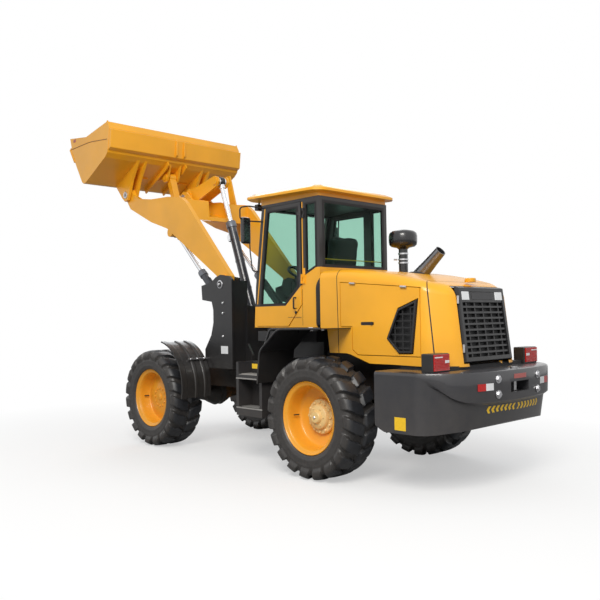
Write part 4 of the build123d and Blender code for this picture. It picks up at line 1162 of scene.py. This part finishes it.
RAIL_PATH = [(x, 0.750, z) for x, z in (
    (-0.400, 1.100), (-0.574, 1.428), (-0.985, 1.428), (-1.020, 1.400),
)]
rail = bar(bend(RAIL_PATH, 0.04), 0.012)
piece("fender_rails", mirrored(rail), glossy_black, "rear_chassis")
FENDER_EDGE = [(-0.694, 0.88), (-0.734, 1.208), (-1.011, 1.430), (-1.616, 1.436)]
lip = bend([(x, 1.036, z) for x, z in FENDER_EDGE], 0.06)
piece("fender_lips", mirrored(bar(lip, 0.011)), black_paint, "rear_chassis")
print("mirrors and rails stand")

# %% [markdown]
# ## The seat
# The seat's two cushions are foam in vinyl. Each starts as a plain block, is remeshed into
# even small faces, and is blown up a little by a cloth simulation with pressure: the faces
# bulge, the seams stay. How far a point may move is capped, and one subdivision finishes it.

# %% Cushions by simulation
CUSHIONS = {
    "seat_cushion": ((-0.885, -0.500), (-0.225, 0.225), (1.655, 1.765)),
    "seat_back": ((-0.075, 0.0), (-0.215, 0.215), (0.0, 0.640)),
}
CAP = 0.018


def cushion_block(x, y, z, crown):
    """A box whose upper corners, seen from the front, are cut round by `crown`."""
    outline = [(y[0], z[0]), (y[1], z[0]), (y[1], z[1]), (y[0], z[1])]
    if crown:
        outline = [(y[0], z[0]), (y[1], z[0]), (y[1], z[1] - crown)]
        top = [(y[1], z[1] - crown), (y[1], z[1]), (y[0], z[1]), (y[0], z[1] - crown)]
        outline += bend(top, crown * 0.8, 8)[1:-1].tolist()
        outline += [(y[0], z[1] - crown)]
    return prism(outline, x[0], x[1], "X")


def inflate(made):
    """Cloth under pressure for twenty frames; each point then moves at most CAP from its start."""
    start = np.empty(len(made.data.vertices) * 3)
    made.data.vertices.foreach_get("co", start)
    cloth = made.modifiers.new("blown_up", "CLOTH")
    cloth.settings.use_pressure = True
    cloth.settings.uniform_pressure_force = 4.0
    cloth.settings.effector_weights.gravity = 0.0
    cloth.settings.quality = 5
    cloth.settings.tension_stiffness = 30.0
    cloth.point_cache.frame_start = 1
    cloth.point_cache.frame_end = 20
    for step in range(1, 21):
        bpy.context.scene.frame_set(step)
    shown = made.evaluated_get(bpy.context.evaluated_depsgraph_get())
    end = np.empty(len(start))
    shown.data.vertices.foreach_get("co", end)
    made.modifiers.clear()
    bpy.context.scene.frame_set(1)
    move = (end - start).reshape(-1, 3)
    far = np.linalg.norm(move, axis=1)[:, None]
    move *= np.minimum(1.0, CAP / np.maximum(far, 1e-9))
    made.data.vertices.foreach_set("co", (start.reshape(-1, 3) + move).ravel())
    made.data.update()
    return float(min(far.max(), CAP))


BACK_LEAN = math.radians(-8)
BACK_AT = (-0.835, 1.790)
BACK_CROWN = 0.11


def leaned(shape):
    """The backrest turned about the seat's rear edge: a rotation in the middle plane."""
    (x, y, z), (cos, sin) = shape[0].T, (math.cos(BACK_LEAN), math.sin(BACK_LEAN))
    points = np.stack([BACK_AT[0] + x * cos + z * sin, y, BACK_AT[1] - x * sin + z * cos], -1)
    return points, shape[1]


for name, (x, y, z) in CUSHIONS.items():
    back = name == "seat_back"
    shape = cushion_block(x, y, z, BACK_CROWN if back else 0.0)
    if back:
        shape = leaned(shape)
    cushion = piece(name, shape, seat_vinyl, "rear_chassis")
    remesh = cushion.modifiers.new("even_faces", "REMESH")
    remesh.mode = "VOXEL"
    remesh.voxel_size = 0.006
    shown = cushion.evaluated_get(bpy.context.evaluated_depsgraph_get())
    cushion.data = bpy.data.meshes.new_from_object(shown)
    cushion.modifiers.clear()
    print(name, "moved at most", round(inflate(cushion), 4))
    cushion.data.shade_smooth()
    smoother = cushion.modifiers.new("smooth", "SUBSURF")
    smoother.levels = smoother.render_levels = 1
    if not back:
        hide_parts("operator_seat")
back_tubes = [
    bar(bend([(-0.86, y, 1.66), (-0.92, y, 1.70), (-0.955, y, 1.98)], 0.03), 0.016)
    for y in (-0.15, 0.15)
]
pedestal = joined(
    box((-0.80, -0.58), (-0.12, 0.12), (1.480, 1.640)),
    box((-0.86, -0.52), (-0.20, 0.20), (1.636, 1.660)),
    *back_tubes,
)
piece("seat_pedestal", pedestal, matt_black, "rear_chassis", 0.004)
ARM_PAD = np.array([(-0.86, 1.905), (-0.58, 1.925), (-0.58, 1.965), (-0.86, 1.965)])
ARM_ROD = [(-0.90, 0.222, 1.93), (-0.86, 0.24, 1.935), (-0.80, 0.25, 1.935)]
armrest = joined(prism(rounded(ARM_PAD, 0.015), 0.225, 0.275), bar(ARM_ROD, 0.012))
piece("seat_armrests", mirrored(armrest), cab_plastic, "rear_chassis", 0.006)
print("seat is made")

# %% [markdown]
# ## Tyres
# A loader tyre has a few broad lugs a side that start at the middle, sweep back and run down
# the shoulder; the two sides are half a pitch apart. The carcass is a section turned about the
# axle. A lug is a height added square to that section wherever the angle, shifted by a share
# of the distance from the middle, falls inside the lug's part of the pitch.

# %% Tyre surfaces
WHEEL_PLACES = {
    "front_left": (1.390, 0.830), "front_right": (1.390, -0.830),
    "rear_left": (-1.390, 0.830), "rear_right": (-1.390, -0.830),
}
AXLE_HEIGHT = 0.585
LUGS = 19
TURNS = 456
ACROSS = 76
TYRE_HALF = 0.1965
TREAD_HALF = 0.2095
LUG_HEIGHT, LUG_END_DROP = 0.037, 0.018
LUG_HALF, LUG_WALL = 0.285, 0.035
RIDGES = ((0.395, 0.006), (0.452, 0.004))
RIDGE_HEIGHT = 0.003
SECTION = np.array([
    (0.342, 0.150), (0.350, 0.172), (0.362, 0.186), (0.400, 0.1945), (0.450, 0.1960),
    (0.488, 0.192), (0.514, 0.184), (0.532, 0.170), (0.5435, 0.148), (0.547, 0.110),
    (0.548, 0.0),
])


def smooth(value, low, high):
    """Rises softly from 0 at low to 1 at high."""
    share = np.clip((value - low) / (high - low), 0, 1)
    return share * share * (3 - 2 * share)


def tyre_surface(side):
    """Carcass turned about the axle, raised square to its section by the lugs: how far inside
    the lug's part of the pitch a point is, times how far inside its length."""
    whole = np.vstack([SECTION, SECTION[-2::-1] * (1, -1)])
    length = np.concatenate([[0], np.cumsum(np.linalg.norm(np.diff(whole, axis=0), axis=1))])
    even = np.linspace(0, length[-1], ACROSS)
    radius, across = (np.interp(even, length, whole[:, k]) for k in (0, 1))
    slope = np.stack([np.gradient(radius), np.gradient(across)], -1)
    slope /= np.linalg.norm(slope, axis=1)[:, None]
    normal = np.stack([-slope[:, 1], slope[:, 0]], -1)
    normal *= np.sign(np.sum(normal * np.stack([radius - 0.42, across], -1), 1))[:, None]
    angle = np.linspace(0, 2 * np.pi, TURNS, endpoint=False)[:, None]
    reach = np.abs(across)[None] / TYRE_HALF
    half_pitch = np.where(across > 0, 0.5, 0.0)[None]
    sweep = 0.62 * reach**1.35 + 0.06 * np.sin(reach * np.pi * 2)
    phase = (angle * LUGS / (2 * np.pi) + half_pitch + sweep) % 1.0
    width = LUG_HALF + 0.03 * reach
    rise = smooth(phase, 0.5 - width - LUG_WALL, 0.5 - width)
    fall = smooth(-phase, -0.5 - width - LUG_WALL, -0.5 - width)
    length = smooth(reach, 0.015, 0.10) * smooth(radius, 0.468, 0.500)[None]
    height = (LUG_HEIGHT - LUG_END_DROP * smooth(reach, 0.90, 1.0)) * rise * fall * length
    ridge = sum(RIDGE_HEIGHT * np.exp(-(((radius - at) / wide) ** 2)) for at, wide in RIDGES)
    height = height + (ridge * (np.abs(across) > 0.18))[None]
    r = radius[None] + height * normal[None, :, 0]
    y = across[None] + height * normal[None, :, 1]
    y = np.clip(y, -TREAD_HALF, TREAD_HALF) * side
    points = np.stack([r * np.cos(angle), y, r * np.sin(angle)], -1)
    return points.transpose(1, 0, 2).reshape(-1, 3)


for name, (x, y) in WHEEL_PLACES.items():
    side = 1 if y > 0 else -1
    points = tyre_surface(side) + (x, y, AXLE_HEIGHT)
    rubber = nodes["tyre_" + name].data.materials[0]
    tread = piece(
        "tread_" + name, (points, grid_faces(ACROSS, TURNS, wrap=True)), rubber,
        "wheel_" + name, angle=60,
    )
    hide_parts("tyre_" + name)
print("tyres are on: faces each", (ACROSS - 1) * TURNS)

# %% [markdown]
# ## Rims and hubs
# Rims are pressed dishes, so one turned profile makes each. The front dish is plain. The rear
# one carries the hub's planetary case, cast in a paler paint, with a ring of bolts.

# %% Rims, hubs and bolts
RIM_BACK = [
    (0.316, 0.148), (0.312, 0.120), (0.312, -0.120), (0.318, -0.150), (0.344, -0.168),
    (0.345, -0.176), (0.330, -0.172), (0.305, -0.155), (0.298, -0.10),
]
RIM_LIP = [
    (0.296, 0.020), (0.302, 0.100), (0.306, 0.148), (0.316, 0.158), (0.334, 0.162), (0.342, 0.170),
    (0.345, 0.176), (0.349, 0.172), (0.349, 0.162), (0.338, 0.154),
]
FRONT_DISH = [(0.0, 0.040), (0.150, 0.038), (0.235, 0.020), (0.270, 0.004), (0.286, 0.004)]
REAR_DISH = [(0.0, -0.035), (0.175, -0.035), (0.245, -0.020), (0.275, -0.014), (0.288, -0.006)]
FRONT_BACK = [(0.285, -0.03), (0.150, 0.010), (0.0, 0.010)]
REAR_BACK = [(0.285, -0.05), (0.150, -0.06), (0.0, -0.06)]
CASE = [
    (0.0, 0.082), (0.050, 0.080), (0.060, 0.070), (0.066, 0.050), (0.108, 0.046), (0.118, 0.036),
    (0.124, 0.006), (0.160, 0.004), (0.168, -0.004), (0.170, -0.030), (0.0, -0.032),
]
CENTRE_CAP = [(0.0, 0.054), (0.030, 0.052), (0.040, 0.046), (0.042, 0.038), (0.0, 0.036)]
NUTS = 12
nut_turn = np.linspace(0, 2 * np.pi, NUTS, endpoint=False)
nut_ring = np.stack([np.cos(nut_turn), 0 * nut_turn, np.sin(nut_turn)], -1)
VALVE = np.array([(0.270, 0.03, 0), (0.275, 0.06, 0), (0.280, 0.09, 0)])
for name, (x, y) in WHEEL_PLACES.items():
    side = 1 if y > 0 else -1
    rear = name.startswith("rear")
    dish, back = (REAR_DISH, REAR_BACK) if rear else (FRONT_DISH, FRONT_BACK)
    body = "wheel_" + name
    hub, way = np.array([x, y, AXLE_HEIGHT]), np.array([0, side, 0])
    rim = piece("dish_" + name, turned(dish + RIM_LIP + RIM_BACK + back, hub, way, 96),
                rim_paint, body, angle=50)
    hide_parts("rim_" + name)
    if rear:
        piece(
            "hub_case_" + name, turned(CASE, hub, way, 64), hub_paint, body,
            angle=40,
        )
        nuts = heads(nut_ring * 0.143 + hub + way * 0.005, way, 0.026, 0.014)
        small = heads(nut_ring[::2] * 0.086 + hub + way * 0.047, way, 0.016, 0.008)
        piece("hub_nuts_" + name, joined(nuts, small), hub_paint, body)
        plug = heads([hub + way * 0.081], way, 0.024, 0.012)
        piece("hub_plug_" + name, plug, bolt_steel, body)
    else:
        piece(
            "centre_cap_" + name, turned(CENTRE_CAP, hub, way, 48), rim_paint, body,
        )
        nuts = heads(nut_ring * 0.110 + hub + way * 0.038, way, 0.024, 0.012)
        piece("wheel_nuts_" + name, nuts, rim_paint, body)
    valve = bar(hub + VALVE * (1, side, 1), 0.006, 8)
    piece("valve_" + name, valve, matt_black, body)
print("rims and hubs are in")

# %% [markdown]
# ## Mudguards, steps and the tower
# The front mudguards are rolled strips that follow the tyre, stiffened by ribs: the same arc
# with a larger radius over a part of the width. The step box is folded plate with a pale
# anti-slip tread on each step.

# %% Front mudguards
GUARD_ARC = ((0.684, 0.627), (0.775, 1.066), (1.098, 1.268))
GUARD_REACH = (0.622, 1.036)
FIRST_RIB, RIB_STEP, LIP_START = 0.695, 0.130, 0.958
GUARD_SHEET, RIB_RISE, LIP_RISE = 0.006, 0.012, 0.011


def guard_sheet():
    """Sheet on an arc: its outer face stands off by a height that depends on y, with ribs and
    a lip along the outer edge."""
    inner = arc(*GUARD_ARC, 33)
    outward = np.gradient(inner, axis=0)
    outward = np.stack([-outward[:, 1], outward[:, 0]], -1)
    outward /= np.linalg.norm(outward, axis=1)[:, None]
    y = np.linspace(*GUARD_REACH, 84)
    wave = np.cos((y - FIRST_RIB) * 2 * np.pi / RIB_STEP)
    ribs = smooth(wave, 0.35, 0.75) * (y < LIP_START - RIB_STEP / 4)
    lip = smooth(y, LIP_START, LIP_START + 0.010)
    rise = GUARD_SHEET + RIB_RISE * ribs + LIP_RISE * lip
    outer = inner[:, None] + outward[:, None] * rise[None, :, None]
    under = np.repeat(inner[:, None], len(y), 1)
    rows = np.concatenate([outer, under[:, ::-1]], 1)
    across = np.concatenate([y, y[::-1]])
    points = np.stack([rows[..., 0], np.broadcast_to(across, rows.shape[:2]), rows[..., 1]], -1)
    count = points.shape[1]
    edge = np.arange(len(y) - 1)
    cap = np.stack([edge, edge + 1, count - 2 - edge, count - 1 - edge], -1)
    caps = cap.tolist() + (cap[:, ::-1] + (len(inner) - 1) * count).tolist()
    return points.reshape(-1, 3), grid_faces(len(inner), count, wrap=True) + caps


guard = piece("mudguards", mirrored(guard_sheet()), black_paint, "front_chassis")
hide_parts("front_fenders")
guard_stay = box((0.738, 0.760), (0.606, 0.880), (1.062, 1.084))
stay_bolts = heads([(0.738, y, 1.073) for y in (0.66, 0.76, 0.85)], (-1, 0, 0), 0.020, 0.008)
piece(
    "mudguard_stays", mirrored(joined(guard_stay, stay_bolts)), bolt_steel, "front_chassis",
    0.002,
)
print("mudguards are on")

# %% Steps
treads = []
for z in (0.600, 0.947):
    treads.append(box((-0.610, -0.290), (0.790, 0.952), (z, z + 0.005)))
    for y in np.arange(0.80, 0.94, 0.028):
        treads.append(box((-0.605, -0.295), (y, y + 0.012), (z + 0.004, z + 0.011)))
piece("step_treads", mirrored(joined(*treads)), tread_metal, "rear_chassis")
edges = joined(*[box((-0.662, -0.238), (0.946, 0.954), (z, z + 0.014)) for z in (0.900, 0.590)])
piece("step_edges", mirrored(edges), tread_metal, "rear_chassis", 0.002)
piece(
    "blank_step_labels", mirrored(box((-0.62, -0.51), (0.950, 0.9525), (1.020, 1.070))),
    marking_yellow, "rear_chassis", 0.001,
)
print("steps have treads")

# %% Bolts and plates on the frames
tower_bolts = heads([(0.42, 0.6150, z) for z in (1.73, 1.61, 1.34)], (0, 1, 0), 0.024, 0.012)
piece("tower_bolts", mirrored(tower_bolts), bolt_steel, "front_chassis")
piece(
    "blank_white_plates", mirrored(box((0.331, 0.463), (0.6150, 0.6175), (1.134, 1.224))),
    lamp_white, "front_chassis", 0.001,
)
print("frames have their bolts")

# %% [markdown]
# ## Bucket and linkage
# The bucket's back carries a box beam from side to side, with a rib pair near the middle, and
# long ribs run down its floor. A bolt-on edge, a weld bead on each side plate and the pin caps
# finish the front. All of it is plate, so it is outlines carried across.

# %% Bucket fittings
BUCKET_HALF = 1.090
BEAM = [(2.247, 3.800), (2.188, 3.826), (2.160, 4.064), (2.213, 4.086)]
beam = prism(BEAM, -BUCKET_HALF + 0.004, BUCKET_HALF - 0.004)
piece("bucket_beam", beam, yellow_paint, "bucket", 0.006)
rib = [(2.190, 3.830), (2.150, 3.856), (2.144, 4.056), (2.166, 4.066)]
ribs = joined(*[prism(rib, y, y + 0.022) for y in (-0.075, 0.055)])
piece("bucket_ribs", ribs, yellow_paint, "bucket", 0.003)
FLOOR_LINE = np.array([(2.880, 3.452), (2.330, 3.716), (2.262, 3.772)])
floor_rib = np.vstack([FLOOR_LINE, FLOOR_LINE[::-1] + (-0.028, -0.052)])
pads = [prism(floor_rib, y, y + 0.022) for y in (-0.16, 0.138)]
wear = [
    prism([(2.86, 3.463), (2.62, 3.578), (2.612, 3.560), (2.852, 3.445)], y, y + 0.16)
    for y in (-0.42, 0.26)
]
piece("bucket_floor_ribs", joined(*pads, *wear), yellow_paint, "bucket", 0.003)
weld = bend([(3.312, 1.0905, 3.989), (2.739, 1.0905, 3.995), (2.266, 1.0905, 3.945)], 0.10)
piece("weld_beads", mirrored(bar(weld, 0.005)), weld_paint, "bucket")
mark = mirrored(box((3.160, 3.230), (1.0905, 1.0925), (4.075, 4.115)))
piece("side_marks", mark, plate_red, "bucket", 0.001)
edge_bolts = heads(
    [(3.325, y, 4.0) for y in np.arange(-0.95, 0.96, 0.19)], (0.85, 0, -0.53), 0.028, 0.010
)
piece("edge_bolts", edge_bolts, bolt_steel, "bucket")
print("bucket fittings are on")

# %% Cylinder ends, glands and pipes
def points_of(name):
    """Vertices of a solid as an array."""
    values = np.empty(len(nodes[name].data.vertices) * 3)
    nodes[name].data.vertices.foreach_get("co", values)
    return values.reshape(-1, 3)


LIFT_Y = 0.455
CYLINDERS = {
    "lift": ("lift_barrels", "lift_rods", (0.410, 1.500), (1.600, 2.678), (LIFT_Y, -LIFT_Y), 0.045),
    "tilt": ("tilt_barrel", "tilt_rod", (0.620, 1.635), (1.240, 3.350), (0.0,), 0.058),
}
EYE, EYE_HALF = 0.060, 0.028


def sleeve(radius, start, length, base, way):
    """A short ring round a barrel: a closed profile of four corners, turned."""
    low, high = radius - 0.003, radius + 0.004
    profile = [(low, start), (high, start), (high, start + length), (low, start + length)]
    return turned(profile, base, way, 32)


for name, (barrel, rod, foot_at, eye_at, rows, radius) in CYLINDERS.items():
    way = np.array([eye_at[0] - foot_at[0], 0, eye_at[1] - foot_at[1]])
    way /= np.linalg.norm(way)
    up = np.array([-way[2], 0, way[0]])
    start = np.array([foot_at[0], 0, foot_at[1]])
    reach = float(((points_of(barrel) - start) @ way).max())
    glands, pipes, eyes = [], [], []
    for y in rows:
        base = start + (0, y, 0)
        gland = [
            (radius - 0.004, reach - 0.085), (radius + 0.009, reach - 0.080),
            (radius + 0.009, reach - 0.012), (radius + 0.004, reach + 0.002),
            (radius - 0.012, reach + 0.006),
        ]
        glands.append(turned(gland, base, way, 40))
        stations = ((0.13, -0.004), (0.15, 0.014), (reach - 0.17, 0.014), (reach - 0.15, -0.004))
        lane = [base + way * s + up * (radius + lift) for s, lift in stations]
        pipes.append(bar(bend(lane, 0.02), 0.008, 10))
        for s in (0.30, reach * 0.55, reach - 0.25):
            pipes.append(sleeve(radius, s, 0.02, base, way))
        ring = [
            (EYE - 0.001, -EYE_HALF), (EYE + 0.004, -EYE_HALF), (EYE + 0.004, EYE_HALF),
            (EYE - 0.001, EYE_HALF),
        ]
        eyes.append(turned(ring, (eye_at[0], y, eye_at[1]), (0, 1, 0), 40))
    piece(name + "_glands", joined(*glands), gland_grey, barrel, 0.002)
    piece(name + "_pipes", joined(*pipes), barrel_paint, barrel)
    piece(name + "_eyes", joined(*eyes), black_paint, rod)
print("cylinders are fitted")

# %% Pin caps
CAP_Y = 0.6155
CAP_PROFILE = [(0, 0), (0.050, 0), (0.050, 0.006), (0.0275, 0.010), (0, 0.010)]


def pin_cap(x, z, side):
    """Round washer and hexagon bolt on the outer end of a pin."""
    way = (0, side, 0)
    washer = turned(CAP_PROFILE, (x, side * CAP_Y, z), way, 32)
    return joined(washer, heads([(x, side * (CAP_Y + 0.010), z)], way, 0.030, 0.014))


for name, body, x, z in (
    ("bucket_pin_caps", "boom", 2.630, 3.300), ("tower_pin_caps", "front_chassis", 0.470, 1.950),
):
    caps = joined(pin_cap(x, z, 1), pin_cap(x, z, -1))
    piece(name, caps, bolt_steel, body, 0.001)
print("pins are capped")

# %% [markdown]
# ## Studio
# The floor is a wide pale sheet that melts into a white room: near the machine it takes the
# shadow, and farther out its own colour gives way to plain white. One big soft lamp stands
# high on the near side, a weak one fills the far side, and the room itself is the rest.

# %% Floor, room and lamps
FLOOR_HALF = 60.0
FADE_FROM, FADE_TO, FADE_LEAST = 1.5, 4.5, 0.45
corners = np.array([[-1, -1, 0], [1, -1, 0], [1, 1, 0], [-1, 1, 0]], float) * FLOOR_HALF
floor_mesh = bpy.data.meshes.new("studio_floor")
floor_mesh.from_pydata(corners.tolist(), [], [(0, 1, 2, 3)])
floor = bpy.data.objects.new("studio_floor", floor_mesh)
bpy.context.scene.collection.objects.link(floor)

floor_finish, graph, shader = start_material("studio_paper")
shader.inputs["Roughness"].default_value = 0.9
shader.inputs["Specular IOR Level"].default_value = 0.1
seen = graph.nodes.new("ShaderNodeLightPath").outputs["Is Camera Ray"]
graph.links.new(
    mix(graph, seen, (0.40, 0.40, 0.40, 1), (0.94, 0.94, 0.94, 1)), shader.inputs["Base Color"]
)
glow = node(graph, "Emission", Color=(1, 1, 1, 1), Strength=1.0).outputs["Emission"]
away = node(
    graph, "VectorMath", {"operation": "LENGTH"}, _0=spot(graph, scale=(0.7, 1, 1))
).outputs["Value"]
fade = mapped(graph, away, FADE_FROM, FADE_TO, FADE_LEAST, 1.0)
share = work(graph, "MULTIPLY", fade, seen)
blend = node(graph, "MixShader", _0=share, _1=shader.outputs["BSDF"], _2=glow)
graph.links.new(blend.outputs["Shader"], graph.nodes["Material Output"].inputs["Surface"])
floor_mesh.materials.append(floor_finish)

world = bpy.data.worlds.new("studio_room")
bpy.context.scene.world = world
world.use_nodes = True
graph = world.node_tree
graph.nodes.clear()
paths = graph.nodes.new("ShaderNodeLightPath")
seen = work(
    graph, "MAXIMUM", paths.outputs["Is Camera Ray"], paths.outputs["Is Transmission Ray"]
)
seen = work(graph, "MAXIMUM", seen, paths.outputs["Is Glossy Ray"])
room = node(graph, "Background", Color=(0.96, 0.98, 1.0, 1), Strength=0.46)
white = node(graph, "Background", Color=(1, 1, 1, 1), Strength=1.0)
choice = node(
    graph, "MixShader", _0=seen, _1=room.outputs["Background"], _2=white.outputs["Background"]
)
output = graph.nodes.new("ShaderNodeOutputWorld")
graph.links.new(choice.outputs["Shader"], output.inputs["Surface"])


def soft_lamp(name, at, target, size, watts, colour=(1, 1, 1)):
    """Square lamp at a place, turned towards a target."""
    data = bpy.data.lights.new(name, "AREA")
    data.size = size
    data.energy = watts
    data.color = colour
    lamp = bpy.data.objects.new(name, data)
    lamp.visible_camera = False
    lamp.visible_transmission = False
    bpy.context.scene.collection.objects.link(lamp)
    way = Vector(target) - Vector(at)
    lamp.matrix_world = Matrix.Translation(at) @ way.to_track_quat("-Z", "Y").to_matrix().to_4x4()
    return lamp


soft_lamp("key_lamp", (-7.0, 8.0, 8.5), (0, 0, 1.2), 5.0, 1150.0, (1.0, 0.97, 0.92))
soft_lamp("fill_lamp", (8.0, -7.0, 6.0), (0, 0, 1.5), 6.0, 300.0, (0.94, 0.97, 1.0))
bpy.context.scene.view_settings.view_transform = "Standard"
print("studio is lit")
